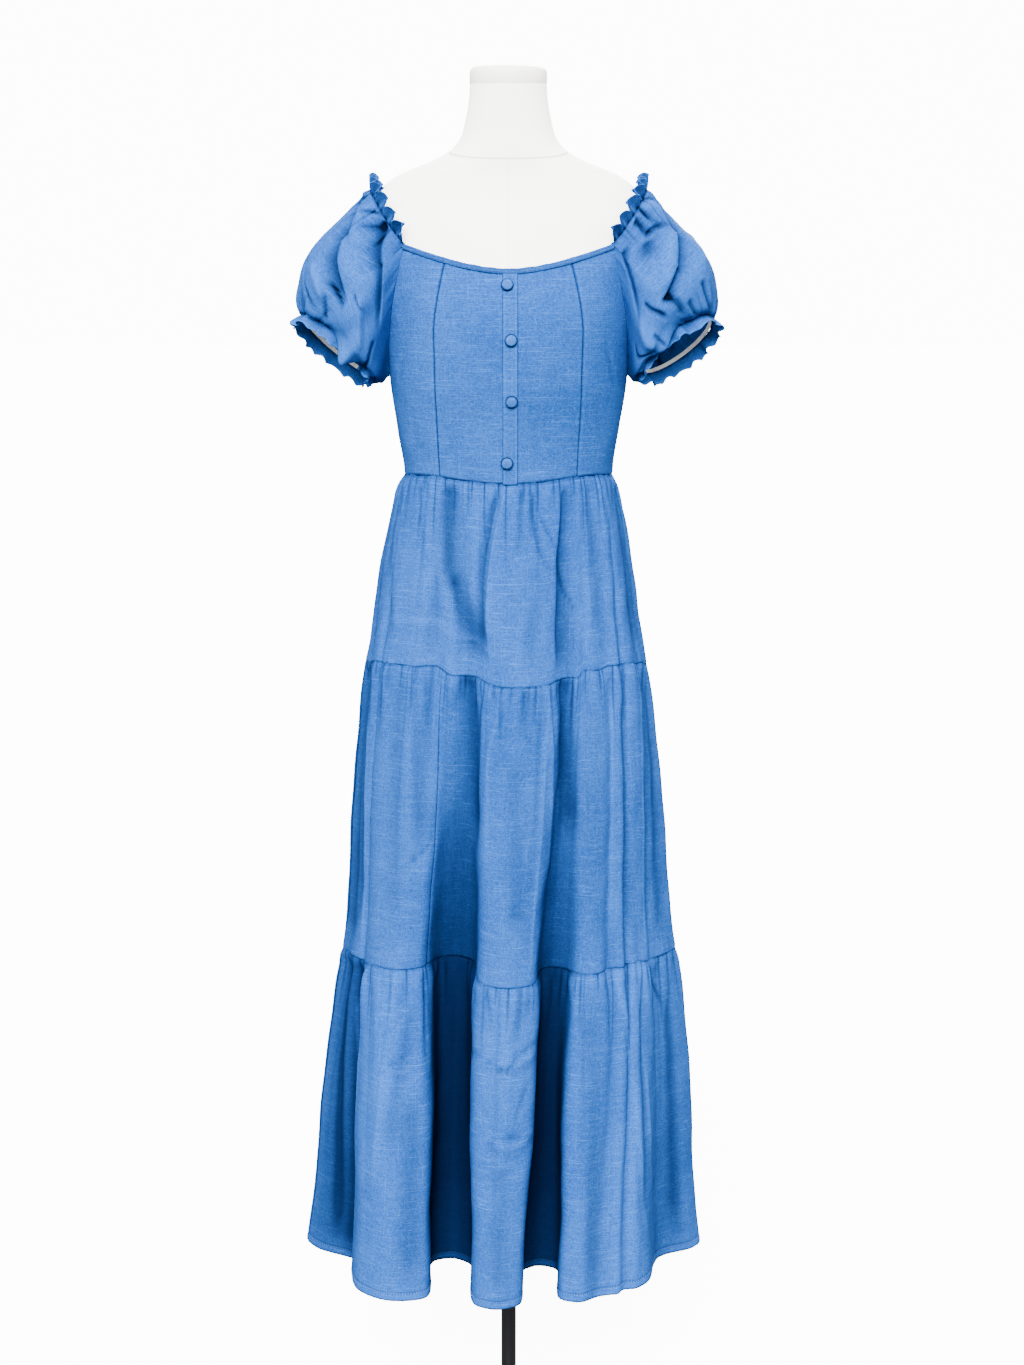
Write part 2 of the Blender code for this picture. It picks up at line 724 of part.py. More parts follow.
def sleeve_point(cuff, place, down, phase):
    """A point of the puff at a place round it, and down it from the neck and armhole to the cuff."""
    top = sleeve_top(place)
    end = cuff_point(cuff, place)
    middle = top.lerp(end, 0.5)
    axis = Vector((SLEEVE_AXIS[0], -SLEEVE_AXIS[1], SLEEVE_AXIS[2]))
    outward = (middle - axis).normalized()
    turn = 2 * math.pi * place
    front = max(0.0, math.sin(turn))
    back = max(0.0, -math.sin(turn))
    outer = max(0.0, math.cos(turn))
    under = max(0.0, -math.cos(turn))
    puff = 0.027 * outer ** 2 + 0.040 * front ** 1.5 + 0.038 * back ** 1.5 + 0.010 * under ** 2
    swell = math.sin(math.pi * down ** 1.35)
    point = top.lerp(end, down) + outward * (puff * swell)
    fold = math.cos(SLEEVE_FOLDS * turn + phase) + 0.3 * math.cos(3 * turn + 2 * phase)
    reach = 0.0065 * (1 - 0.85 * under) * math.sin(math.pi * down) ** 0.8
    return point + outward * (fold * reach)


def build_sleeve(side, word, cuff, phase, look, elastic_look):
    """One puff sleeve with its cuff frill, its elastic and its neck ruffle."""
    columns = 48
    flipped = side > 0

    def puff(u, v):
        down = (1 - v) ** 0.9
        return mirrored(sleeve_point(cuff, u, down, phase), side)

    grid_object(f"sleeve_{word}", columns, 6, puff, look, wall=WALL, joined=True, flipped=flipped)

    def cuff_frill(u, v):
        down = 1 - v
        wave = math.cos(2 * math.pi * CUFF_FRILL_WAVES * u + phase)
        grow = (CUFF_FRILL_FLARE + CUFF_FRILL_WAVE * wave) * down
        return mirrored(cuff_point(cuff, u, grow, TURNED_GAP + CUFF_FRILL * down), side)

    grid_object(f"cuff_ruffle_{word}", CUFF_FRILL_WAVES * 4, 1, cuff_frill, look, wall=STRIP_WALL,
                joined=True, flipped=flipped)

    def elastic(u, v):
        return mirrored(cuff_point(cuff, u, -WALL - ELASTIC_GAP, ELASTIC_WIDTH * (0.35 - v)), side)

    grid_object(f"cuff_elastic_{word}", 24, 1, elastic, elastic_look, wall=ELASTIC_WALL, joined=True,
                flipped=flipped)

    def neck_frill(u, v):
        share = 0.985 - 0.97 * u
        base = neck_elastic_point(share)
        ahead = neck_elastic_point(share + 0.01)
        behind = neck_elastic_point(share - 0.01)
        along = (ahead - behind).normalized()
        normal = form_normal(base)
        up = (normal.cross(along) + normal * NECK_FRILL_LIFT).normalized()
        sideways = along.cross(up).normalized()
        wave = math.sin(2 * math.pi * NECK_FRILL_WAVES * u + phase)
        point = base + up * (TURNED_GAP + NECK_FRILL * v) + sideways * (NECK_FRILL_WAVE * wave * v)
        return mirrored(point, side)

    grid_object(f"neck_ruffle_{word}", NECK_FRILL_WAVES * 4, 1, neck_frill, look, wall=STRIP_WALL,
                flipped=flipped)


def build_form(cloth, cap, steel):
    """The limbless dress form, its neck cap, and the pole on its round base."""
    columns = 28
    heights = [row[0] for row in BODY_SECTIONS]
    heights += [blend(low, high, 0.5) for low, high in zip(heights, heights[1:]) if 1.16 < low < 1.42]
    heights.sort()

    def place(u, v):
        height = heights[round(v * (len(heights) - 1))]
        turn = blend(-180, 180, u)
        return body_point(turn, height, 0.0)

    torso = grid_object("form_torso", columns, len(heights) - 1, place, cloth, joined=True)
    ends = bmesh.new()
    ends.from_mesh(torso.data)
    bmesh.ops.holes_fill(ends, edges=ends.edges, sides=columns)
    bmesh.ops.recalc_face_normals(ends, faces=ends.faces)
    ends.to_mesh(torso.data)
    ends.free()
    torso.data.set_sharp_from_angle(angle=math.radians(50))

    low = NECK_TOP_Z + SEAM_GAP
    turned_object("form_neck_cap", (
        (0.0, CAP_TOP_Z),
        (NECK_RADIUS - 0.009, CAP_TOP_Z - 0.0006),
        (NECK_RADIUS - 0.003, CAP_TOP_Z - 0.0025),
        (NECK_RADIUS, CAP_TOP_Z - 0.0065),
        (NECK_RADIUS, low),
        (0.0, low),
    ), 32, cap)
    socket_top = TORSO_BOTTOM_Z - SEAM_GAP
    turned_object("form_socket", (
        (0.0, socket_top),
        (SOCKET_RADIUS + 0.006, socket_top),
        (SOCKET_RADIUS + 0.006, socket_top - 0.004),
        (SOCKET_RADIUS, socket_top - 0.008),
        (SOCKET_RADIUS, socket_top - SOCKET_HEIGHT),
        (0.0, socket_top - SOCKET_HEIGHT),
    ), 20, steel)
    turned_object("form_pole", (
        (0.0, socket_top - SOCKET_HEIGHT - SEAM_GAP),
        (POLE_RADIUS, socket_top - SOCKET_HEIGHT - SEAM_GAP),
        (POLE_RADIUS, BASE_THICKNESS + SEAM_GAP),
        (0.0, BASE_THICKNESS + SEAM_GAP),
    ), 20, steel)
    turned_object("form_base", (
        (0.0, BASE_THICKNESS),
        (BASE_RADIUS - 0.006, BASE_THICKNESS - 0.0015),
        (BASE_RADIUS, BASE_THICKNESS - 0.006),
        (BASE_RADIUS, 0.0015),
        (BASE_RADIUS - 0.0015, 0.0),
        (0.0, 0.0),
    ), 36, steel)


clear_scene()
DRESS = bpy.data.collections.new("tiered_midi_dress")
bpy.context.scene.collection.children.link(DRESS)
chambray = material("chambray", CHAMBRAY, 0.85)
form_cloth = material("form_cloth", FORM_CLOTH, 0.70)
cap_plastic = material("cap_plastic", CAP_COLOUR, 0.45)
black_steel = material("black_steel", STEEL_BLACK, 0.30, 0.6)
white_elastic = material("white_elastic", ELASTIC_WHITE, 0.80)
build_form(form_cloth, cap_plastic, black_steel)
build_bodice(chambray)
build_placket(chambray)
build_neck_bands(chambray)
build_skirt(chambray)
build_sleeve(-1, "left", CUFF_LEFT, 0.6, chambray, white_elastic)
build_sleeve(1, "right", CUFF_RIGHT, 2.4, chambray, white_elastic)
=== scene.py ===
"""Tiered chambray midi dress on a dress form, finished over the frame's solids."""

import math

import bmesh
import bpy
import numpy as np
from mathutils import Matrix, Vector


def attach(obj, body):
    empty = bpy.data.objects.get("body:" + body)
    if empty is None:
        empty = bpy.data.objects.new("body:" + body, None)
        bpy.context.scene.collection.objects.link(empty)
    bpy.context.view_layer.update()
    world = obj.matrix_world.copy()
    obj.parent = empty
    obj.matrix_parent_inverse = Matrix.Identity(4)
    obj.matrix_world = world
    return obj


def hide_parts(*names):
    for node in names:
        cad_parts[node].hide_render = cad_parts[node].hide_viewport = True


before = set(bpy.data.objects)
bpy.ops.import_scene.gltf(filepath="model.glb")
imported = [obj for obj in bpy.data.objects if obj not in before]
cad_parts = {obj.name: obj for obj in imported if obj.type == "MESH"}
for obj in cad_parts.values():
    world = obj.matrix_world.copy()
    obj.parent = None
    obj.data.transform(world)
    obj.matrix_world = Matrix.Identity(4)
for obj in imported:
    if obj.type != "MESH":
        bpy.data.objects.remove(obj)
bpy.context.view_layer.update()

# Camera and studio. The camera stands three metres in front of the dress at chest height and looks
# ten degrees down. The floor is a plain pale sheet that runs out of sight under an even white sky.
camera_data = bpy.data.cameras.new("camera")
camera_data.sensor_width = 36.0
camera_data.lens = 66.99
camera = bpy.data.objects.new("camera", camera_data)
camera.location = (0.0042, -3.0, 1.515)
camera.rotation_euler = (math.radians(79.8), 0.0, 0.0)
bpy.context.scene.collection.objects.link(camera)
bpy.context.scene.camera = camera


def fill_inputs(tree, node, inputs):
    """Sets a node's inputs to plain values, or links them to sockets."""
    for key, value in inputs.items():
        if isinstance(value, bpy.types.NodeSocket):
            tree.links.new(value, node.inputs[key])
        else:
            node.inputs[key].default_value = value


def add_node(tree, kind, inputs, **settings):
    """A new node with its settings made and its inputs filled."""
    node = tree.nodes.new(kind)
    for name, value in settings.items():
        setattr(node, name, value)
    fill_inputs(tree, node, inputs)
    return node


def new_material(name, inputs):
    """A material, its node tree and its shader, with the shader's inputs filled."""
    made = bpy.data.materials.new(name)
    made.use_nodes = True
    shader = made.node_tree.nodes["Principled BSDF"]
    fill_inputs(made.node_tree, shader, inputs)
    return made, made.node_tree, shader


def show_mesh(name, built, look):
    """An object in the scene from a finished bmesh, smooth shaded in one material."""
    mesh = bpy.data.meshes.new(name)
    built.to_mesh(mesh)
    built.free()
    mesh.shade_smooth()
    mesh.materials.append(look)
    piece = bpy.data.objects.new(name, mesh)
    bpy.context.scene.collection.objects.link(piece)
    return piece


floor_paint = new_material("pale_floor", {
    "Base Color": (0.93, 0.93, 0.92, 1.0), "Roughness": 0.9,
    "Emission Color": (1.0, 1.0, 0.99, 1.0), "Emission Strength": 7.5})[0]
floor_grid = bmesh.new()
bmesh.ops.create_grid(floor_grid, x_segments=4, y_segments=4, size=30.0)
studio_floor = show_mesh("studio_floor", floor_grid, floor_paint)
studio_floor.visible_diffuse = False
studio_floor.visible_glossy = False

sky = bpy.data.worlds.new("white_studio")
sky.use_nodes = True
sky_tree = sky.node_tree
sky_light = sky_tree.nodes["Background"]
fill_inputs(sky_tree, sky_light, {"Color": (0.97, 0.98, 1.0, 1.0), "Strength": 0.30})
sky_wall = add_node(sky_tree, "ShaderNodeBackground", {"Color": (1.0, 1.0, 0.99, 1.0), "Strength": 13.0})
sky_seen = add_node(sky_tree, "ShaderNodeLightPath", {})
sky_choice = add_node(sky_tree, "ShaderNodeMixShader", {
    "Fac": sky_seen.outputs["Is Camera Ray"], 1: sky_light.outputs["Background"],
    2: sky_wall.outputs["Background"]})
fill_inputs(sky_tree, sky_tree.nodes["World Output"], {"Surface": sky_choice.outputs["Shader"]})
bpy.context.scene.world = sky


def far_softbox(name, toward, softness, strength):
    """A very large soft light far away, which lights the dress and the whole floor evenly."""
    light = bpy.data.lights.new(name, "SUN")
    light.angle = math.radians(softness)
    light.energy = strength
    lamp = bpy.data.objects.new(name, light)
    lamp.rotation_euler = Vector(toward).to_track_quat("Z", "Y").to_euler()
    bpy.context.scene.collection.objects.link(lamp)


far_softbox("front_softbox", (-0.10, -1.0, 0.62), 34.0, 17.5)
far_softbox("back_softbox", (0.10, 1.0, 0.62), 34.0, 14.0)
far_softbox("left_softbox", (-1.0, 0.10, 0.45), 40.0, 2.0)
far_softbox("right_softbox", (1.0, 0.10, 0.45), 40.0, 2.8)
far_softbox("top_softbox", (0.0, -0.10, 1.0), 40.0, 2.6)

# Stand. A flat round steel foot carries a straight tube, and a turned socket clamps the tube to the
# form. All of it is black powder-coated steel with a satin face.
steel, steel_tree, steel_shader = new_material("black_powder_coat", {
    "Base Color": (0.004, 0.004, 0.005, 1.0), "Specular IOR Level": 0.4})


def grain(tree, scale):
    """Fine noise that keeps its place on the object."""
    place = add_node(tree, "ShaderNodeTexCoord", {})
    return add_node(tree, "ShaderNodeTexNoise", {
        "Vector": place.outputs["Object"], "Scale": scale, "Detail": 2.0}).outputs["Fac"]


def spread(tree, value, low, high):
    """A value from 0 to 1 made into one from low to high."""
    return add_node(tree, "ShaderNodeMapRange", {
        "Value": value, "To Min": low, "To Max": high}).outputs["Result"]


def bumped(tree, height, strength, distance):
    """A normal that follows a height, for a shader."""
    return add_node(tree, "ShaderNodeBump", {
        "Height": height, "Strength": strength, "Distance": distance}).outputs["Normal"]


steel_grain = grain(steel_tree, 900.0)
fill_inputs(steel_tree, steel_shader, {
    "Roughness": spread(steel_tree, steel_grain, 0.24, 0.40),
    "Normal": bumped(steel_tree, steel_grain, 0.12, 0.0002)})


def turned_piece(name, profile, steps, look):
    """A closed mesh spun about the pole's axis from a profile of radius and height in millimetres."""
    turned = bmesh.new()
    line = [turned.verts.new((radius / 1000, 0.0, height / 1000)) for radius, height in profile]
    edges = [turned.edges.new(pair) for pair in zip(line, line[1:])]
    bmesh.ops.spin(turned, geom=line + edges, axis=(0, 0, 1), cent=(0, 0, 0), steps=steps,
                   angle=2 * math.pi, use_merge=True)
    bmesh.ops.remove_doubles(turned, verts=turned.verts, dist=0.00001)
    bmesh.ops.recalc_face_normals(turned, faces=turned.faces)
    piece = show_mesh(name, turned, look)
    piece.data.set_sharp_from_angle(angle=math.radians(40))
    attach(piece, "root")
    return piece


foot = turned_piece("foot_plate", (
    (0, 12), (154, 10.5), (157, 9.8), (159, 8.3), (160, 6), (160, 1.5), (159.6, 0.4), (158.5, 0), (0, 0)),
    128, steel)
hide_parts("form_base")
tube = turned_piece("stand_tube", ((0, 905.3), (8.5, 905.3), (9.3, 904.6), (9.3, 12.4), (0, 12.4)), 48, steel)
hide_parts("form_pole")
clamp = turned_piece("tube_socket", (
    (0, 939.6), (26.2, 939.6), (27, 938.8), (27, 936.2), (26.2, 935.4), (22.6, 933), (21.2, 931),
    (21, 927), (21, 907.6), (20, 906), (0, 906)), 64, steel)
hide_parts("form_socket")

# Torso. A moulded limbless form under an off-white jersey cover, seamed round the neck's foot and
# down the centre front. Its sections are the solid's own, in a finer mesh.
FORM_SECTIONS = (
    (0.940, 0.1340, 0.0930, 0.0970, 0.0013),
    (0.955, 0.1415, 0.0990, 0.1050, 0.0013),
    (1.020, 0.1440, 0.1010, 0.1100, 0.0013),
    (1.100, 0.1390, 0.0980, 0.1060, 0.0013),
    (1.170, 0.1270, 0.0940, 0.0920, 0.0013),
    (1.226, 0.1200, 0.0920, 0.0840, 0.0015),
    (1.280, 0.1265, 0.0990, 0.0880, 0.0028),
    (1.342, 0.1340, 0.1115, 0.0940, 0.0040),
    (1.400, 0.1385, 0.1160, 0.0980, 0.0035),
    (1.465, 0.1460, 0.1010, 0.0990, 0.0028),
    (1.500, 0.1530, 0.0835, 0.0940, 0.0026),
    (1.528, 0.1585, 0.0650, 0.0830, 0.0026),
    (1.546, 0.1570, 0.0530, 0.0720, 0.0026),
    (1.560, 0.1450, 0.0480, 0.0640, 0.0026),
    (1.573, 0.1260, 0.0455, 0.0590, 0.0026),
    (1.588, 0.0900, 0.0460, 0.0560, 0.0026),
    (1.600, 0.0670, 0.0470, 0.0530, 0.0026),
    (1.620, 0.0530, 0.0455, 0.0475, 0.0026),
    (1.6735, 0.0445, 0.0445, 0.0445, 0.0026),
)


def smooth_step(share, start, start_pull, end, end_pull):
    """The smooth curve from start to end at shares of the way, with its pull at each end."""
    return (
        start * (2 * share ** 3 - 3 * share ** 2 + 1)
        + start_pull * (share ** 3 - 2 * share ** 2 + share)
        + end * (3 * share ** 2 - 2 * share ** 3)
        + end_pull * (share ** 3 - share ** 2)
    )


def read_column(rows, column, places):
    """A column of a table, read smoothly between its rows at an array of places."""
    at = np.array([row[0] for row in rows])
    value = np.array([row[column] for row in rows])
    steps = np.diff(at)
    slopes = np.diff(value) / steps
    product = slopes[:-1] * slopes[1:]
    total = slopes[:-1] + slopes[1:]
    pull = np.zeros(len(at))
    pull[1:-1] = np.where(product > 0, 2 * product / np.where(total == 0, 1.0, total), 0.0)
    places = np.clip(places, at[0], at[-1])
    low = np.clip(np.searchsorted(at, places) - 1, 0, len(steps) - 1)
    step = steps[low]
    share = (places - at[low]) / step
    return smooth_step(share, value[low], pull[low] * step, value[low + 1], pull[low + 1] * step)


def on_form(turn, height, off):
    """Points that stand off the form at turns in degrees from the front, as rows of x, y, z."""
    half_width = read_column(FORM_SECTIONS, 1, height) + off
    depth = np.where(np.abs(turn) <= 90, read_column(FORM_SECTIONS, 2, height),
                     read_column(FORM_SECTIONS, 3, height)) + off
    angle = np.radians(turn)
    return np.stack([half_width * np.sin(angle), -depth * np.cos(angle), height], axis=-1)


def laid_grid(name, columns, rows, lay, look, wall=0.0, joined=False, flipped=False):
    """A grid laid by lay(u, v), which gives its points, its flat cut in metres, and its wear and painted
    light.
    """
    grid = bmesh.new()
    bmesh.ops.create_grid(grid, x_segments=columns, y_segments=rows, size=0.5)
    piece = show_mesh(name, grid, look)
    mesh = piece.data
    count = len(mesh.vertices)
    square = np.empty(count * 3)
    mesh.vertices.foreach_get("co", square)
    u = square[0::3] + 0.5
    v = square[1::3] + 0.5
    points, cut, wear_and_painted_light = lay(u, v)
    mesh.vertices.foreach_set("co", np.ascontiguousarray(points, dtype=np.float32).ravel())
    corner = np.empty(len(mesh.loops), dtype=np.int32)
    mesh.loops.foreach_get("vertex_index", corner)
    flat = mesh.uv_layers.new(name="cut")
    flat.data.foreach_set("uv", np.ascontiguousarray(cut[corner], dtype=np.float32).ravel())
    # Kept per point for the cloth's colour: rubbed wear, painted shade and painted highlights.
    edge = mesh.attributes.new("wear_and_painted_light", "FLOAT", "POINT")
    edge.data.foreach_set("value", np.ascontiguousarray(wear_and_painted_light, dtype=np.float32))
    if joined or flipped:
        sewn = bmesh.new()
        sewn.from_mesh(mesh)
        if joined:
            bmesh.ops.remove_doubles(sewn, verts=sewn.verts, dist=0.000005)
        if flipped:
            bmesh.ops.reverse_faces(sewn, faces=sewn.faces)
        sewn.to_mesh(mesh)
        sewn.free()
    mesh.update()
    if wall:
        shell = piece.modifiers.new("wall", "SOLIDIFY")
        shell.thickness = wall
        shell.offset = -1.0
        shell.use_even_offset = False
    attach(piece, "root")
    return piece


def number_node(tree, operation, first, second):
    """The result of a Math node whose two inputs are sockets or plain numbers."""
    return add_node(tree, "ShaderNodeMath", {0: first, 1: second}, operation=operation).outputs[0]


def eased_range(tree, value, low, high, start=0.0, end=1.0):
    """A value's way from low to high, eased at both ends, as a number from start to end."""
    return add_node(tree, "ShaderNodeMapRange", {
        "Value": value, "From Min": low, "From Max": high, "To Min": start, "To Max": end,
    }, interpolation_type="SMOOTHSTEP").outputs["Result"]


def line_mask(tree, distance, half_width):
    """1 on a seam and 0 away from it, where distance is how far a point is from the seam."""
    return eased_range(tree, number_node(tree, "ABSOLUTE", distance, 0.0), 0.0, half_width, 1.0, 0.0)


def mixed_colour(tree, share, first, second):
    """A colour between two others, each a socket or a plain colour."""
    return add_node(tree, "ShaderNodeMix", {"Factor": share, "A": first, "B": second},
                    data_type="RGBA").outputs["Result"]


# The cover glows a little (emission), a painted brightness that keeps the whole form pale.
jersey, jersey_tree, jersey_shader = new_material("form_jersey", {
    "Roughness": 0.75, "Sheen Weight": 0.15, "Emission Color": (1.0, 1.0, 0.93, 1.0),
    "Emission Strength": 1.7})
jersey_place = add_node(jersey_tree, "ShaderNodeTexCoord", {})
jersey_axes = add_node(jersey_tree, "ShaderNodeSeparateXYZ", {"Vector": jersey_place.outputs["Object"]})
collar_slope = number_node(jersey_tree, "MULTIPLY", jersey_axes.outputs["Y"], 0.24)
above_collar = number_node(jersey_tree, "SUBTRACT", jersey_axes.outputs["Z"], 1.6010)
collar_seam = line_mask(
    jersey_tree, number_node(jersey_tree, "SUBTRACT", above_collar, collar_slope), 0.0015)
below_collar = number_node(jersey_tree, "LESS_THAN", jersey_axes.outputs["Z"], 1.588)
centre_seam = number_node(
    jersey_tree, "MULTIPLY", line_mask(jersey_tree, jersey_axes.outputs["X"], 0.0010), below_collar)
form_seams = number_node(jersey_tree, "MAXIMUM", collar_seam,
                         number_node(jersey_tree, "MULTIPLY", centre_seam, 0.5))
jersey_knit = number_node(jersey_tree, "MULTIPLY", grain(jersey_tree, 1400.0), 0.12)
fill_inputs(jersey_tree, jersey_shader, {
    "Base Color": mixed_colour(jersey_tree, number_node(jersey_tree, "MULTIPLY", form_seams, 0.75),
                               (0.92, 0.92, 0.875, 1.0), (0.16, 0.16, 0.15, 1.0)),
    "Normal": bumped(jersey_tree, number_node(jersey_tree, "SUBTRACT", jersey_knit, form_seams),
                     0.5, 0.0006)})


def lay_torso(u, v):
    """How the cover is laid round the whole form, closed at the back."""
    low, high = FORM_SECTIONS[0][0], FORM_SECTIONS[-1][0]
    height = low + (high - low) * v
    turn = -180 + 360 * u
    return on_form(turn, height, 0.0), np.stack([u * 0.8, height], axis=-1), np.zeros(len(u))


torso = laid_grid("form_cover", 96, 110, lay_torso, jersey, joined=True)
torso_ends = bmesh.new()
torso_ends.from_mesh(torso.data)
bmesh.ops.holes_fill(torso_ends, edges=torso_ends.edges, sides=200)
bmesh.ops.recalc_face_normals(torso_ends, faces=torso_ends.faces)
torso_ends.to_mesh(torso.data)
torso_ends.free()
torso.data.set_sharp_from_angle(angle=math.radians(50))
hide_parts("form_torso")

# Neck cap. A turned disc of off-white satin plastic closes the neck, its top a little crowned and
# its rim rounded.
# The cap glows a little too (emission), a painted brightness.
cap_plastic, cap_tree, cap_shader = new_material("cap_plastic", {
    "Base Color": (0.92, 0.91, 0.83, 1.0), "Emission Color": (1.0, 0.99, 0.88, 1.0),
    "Emission Strength": 0.9})
fill_inputs(cap_tree, cap_shader, {"Roughness": spread(cap_tree, grain(cap_tree, 260.0), 0.38, 0.52)})
neck_cap = turned_piece("neck_cap", (
    (0, 1695.5), (18, 1695.4), (34, 1695), (38.5, 1694.5), (41.5, 1693.3), (43.5, 1691.2),
    (44.4, 1689), (44.6, 1686.5), (44.6, 1675.6), (43.8, 1674.5), (0, 1673.9)), 128, cap_plastic)
neck_cap.data.set_sharp_from_angle(angle=math.radians(60))
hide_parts("form_neck_cap")

# Bodice. Four front panels and a plain back are cut in chambray, a pale weft across an indigo warp
# with slubs, and are joined by princess and side seams that pull in a little along the stitches.
WALL = 0.0014
PANEL_WALL = 0.0009
CUT_PER_DEGREE = 0.0021
UNDERARM_Z, WAIST_Z = 1.342, 1.226
NECK_CENTRE_Z, NECK_CORNER_Z, BACK_NECK_Z, BACK_CORNER_Z = 1.4670, 1.4965, 1.4980, 1.5080
CORNER_X, BACK_CORNER_X = 0.1215, 0.1260


def weighted_sum(tree, *parts):
    """The sum of some sockets, each times its weight."""
    terms = [number_node(tree, "MULTIPLY", socket, weight) for socket, weight in parts]
    total = terms[0]
    for term in terms[1:]:
        total = number_node(tree, "ADD", total, term)
    return total


def chambray_cloth(name, ground, thread, slub_share=1.0):
    """Woven chambray from its warp and weft colours, read from the piece's flat cut."""
    made, tree, shader = new_material(name, {"Roughness": 0.82, "Specular IOR Level": 0.02})
    flat_cut = add_node(tree, "ShaderNodeUVMap", {}, uv_map="cut")

    def yarn(across, along, detail, shift):
        mapping = add_node(tree, "ShaderNodeMapping", {
            "Vector": flat_cut.outputs["UV"], "Scale": (across, along, 1.0),
            "Location": (shift, shift * 0.7, shift * 0.3)})
        return add_node(tree, "ShaderNodeTexNoise", {
            "Vector": mapping.outputs["Vector"], "Scale": 1.0, "Detail": detail, "Roughness": 0.6,
        }).outputs["Fac"]

    weft = yarn(260.0, 1900.0, 2.0, 3.1)
    warp = yarn(1900.0, 220.0, 2.0, 7.7)
    weft_slub = eased_range(tree, yarn(38.0, 1100.0, 3.0, 1.3), 0.54, 0.74)
    long_slub = eased_range(tree, yarn(17.0, 620.0, 2.0, 5.9), 0.60, 0.76)
    warp_slub = eased_range(tree, yarn(760.0, 20.0, 3.0, 9.2), 0.56, 0.76)
    dye = yarn(7.0, 7.0, 3.0, 2.2)
    heather = number_node(tree, "ADD", yarn(470.0, 640.0, 3.0, 4.6), -0.5)
    # The cloth's colour shifts with a per-point value: paler above zero for rubbed wear and painted
    # highlights, and below zero mixed toward a near-black indigo that is painted shade.
    wear_and_painted_light = add_node(tree, "ShaderNodeAttribute", {}, attribute_name="wear_and_painted_light").outputs["Fac"]
    wear_and_painted_highlight = number_node(tree, "MAXIMUM", wear_and_painted_light, 0.0)
    painted_shade_share = number_node(tree, "MINIMUM", number_node(tree, "MULTIPLY", wear_and_painted_light, -1.0), 1.0)
    weave = weighted_sum(tree, (weft, 0.55), (warp, 0.45))
    slubs = weighted_sum(tree, (weft_slub, 0.30 * slub_share), (long_slub, 0.26 * slub_share),
                         (warp_slub, 0.16 * slub_share))
    shade = weighted_sum(tree, (weave, 0.9), (slubs, 1.0), (dye, 0.34), (heather, 0.62), (wear_and_painted_highlight, 0.35))
    open_cloth = mixed_colour(tree, eased_range(tree, shade, 0.36, 1.14), ground, thread)
    relief = weighted_sum(tree, (weave, 1.0), (slubs, 0.8))
    fill_inputs(tree, shader, {
        "Base Color": mixed_colour(tree, painted_shade_share, open_cloth, (0.0001, 0.0016, 0.0100, 1.0)),
        "Normal": bumped(tree, relief, 0.35, 0.0003)})
    return made


chambray = chambray_cloth("chambray", (0.0040, 0.0365, 0.1720, 1.0), (0.0270, 0.1290, 0.4550, 1.0))


def mix(low, high, share):
    """The value that lies at share between low and high."""
    return low + (high - low) * share


def turn_at(x, height, off):
    """Turns at which the form's front section reaches x."""
    half_width = read_column(FORM_SECTIONS, 1, height) + off
    return np.degrees(np.arcsin(np.clip(x / half_width, -1.0, 1.0)))


def cloth_off(height):
    """How far the bodice's outer face stands off the form."""
    return read_column(FORM_SECTIONS, 4, height) + WALL


def waist_height(turn):
    """Height of the waist seam, which dips at the front and lifts beside it."""
    front = np.cos(np.radians(turn))
    lift = 0.0045 * np.sin(np.radians(2 * turn)) ** 2 * np.where(front > 0, 1.0, 0.3)
    return WAIST_Z - 0.0030 * np.maximum(front, 0.0) ** 2 + lift


def front_neck_height(x):
    """Height of the front neckline, which rises from the centre to its corners."""
    return mix(NECK_CENTRE_Z, NECK_CORNER_Z, np.minimum(1.0, np.abs(x) / CORNER_X) ** 1.7)


CORNER_TURN = float(turn_at(CORNER_X, NECK_CORNER_Z, cloth_off(NECK_CORNER_Z)))
BACK_CORNER_TURN = 180 - float(turn_at(BACK_CORNER_X, BACK_CORNER_Z, cloth_off(BACK_CORNER_Z)))


def bodice_top(turn):
    """Height of the bodice's upper edge: the neckline, then the armhole, then the back's."""
    around = np.abs(turn)
    x = np.sin(np.radians(around)) * (read_column(FORM_SECTIONS, 1, 1.48) + WALL)
    front = np.clip((around - CORNER_TURN) / (90 - CORNER_TURN), 0.0, 1.0)
    rear = np.clip((BACK_CORNER_TURN - around) / (BACK_CORNER_TURN - 90), 0.0, 1.0)
    middle = np.clip((around - BACK_CORNER_TURN) / (180 - BACK_CORNER_TURN), 0.0, 1.0)
    height = np.where(around <= CORNER_TURN, front_neck_height(x),
                      mix(UNDERARM_Z, NECK_CORNER_Z, (1 - front) ** 1.2))
    height = np.where(around > 90, mix(UNDERARM_Z, BACK_CORNER_Z, (1 - rear) ** 1.2), height)
    return np.where(around > BACK_CORNER_TURN, mix(BACK_CORNER_Z, BACK_NECK_Z, middle), height)


def princess_turn(height):
    """Turn of the right princess seam."""
    above = np.clip((height - 1.393) / (1.474 - 1.393), 0.0, 1.0)
    below = np.clip((1.393 - height) / (1.393 - WAIST_Z), 0.0, 1.0)
    x = np.where(height > 1.393, mix(0.0855, 0.072, above ** 1.6), mix(0.0855, 0.0795, below ** 1.4))
    return turn_at(x, height, cloth_off(height))


def near(distance, reach):
    """1 at a line and fading to 0 over a reach."""
    return np.exp(-(distance / reach) ** 2)


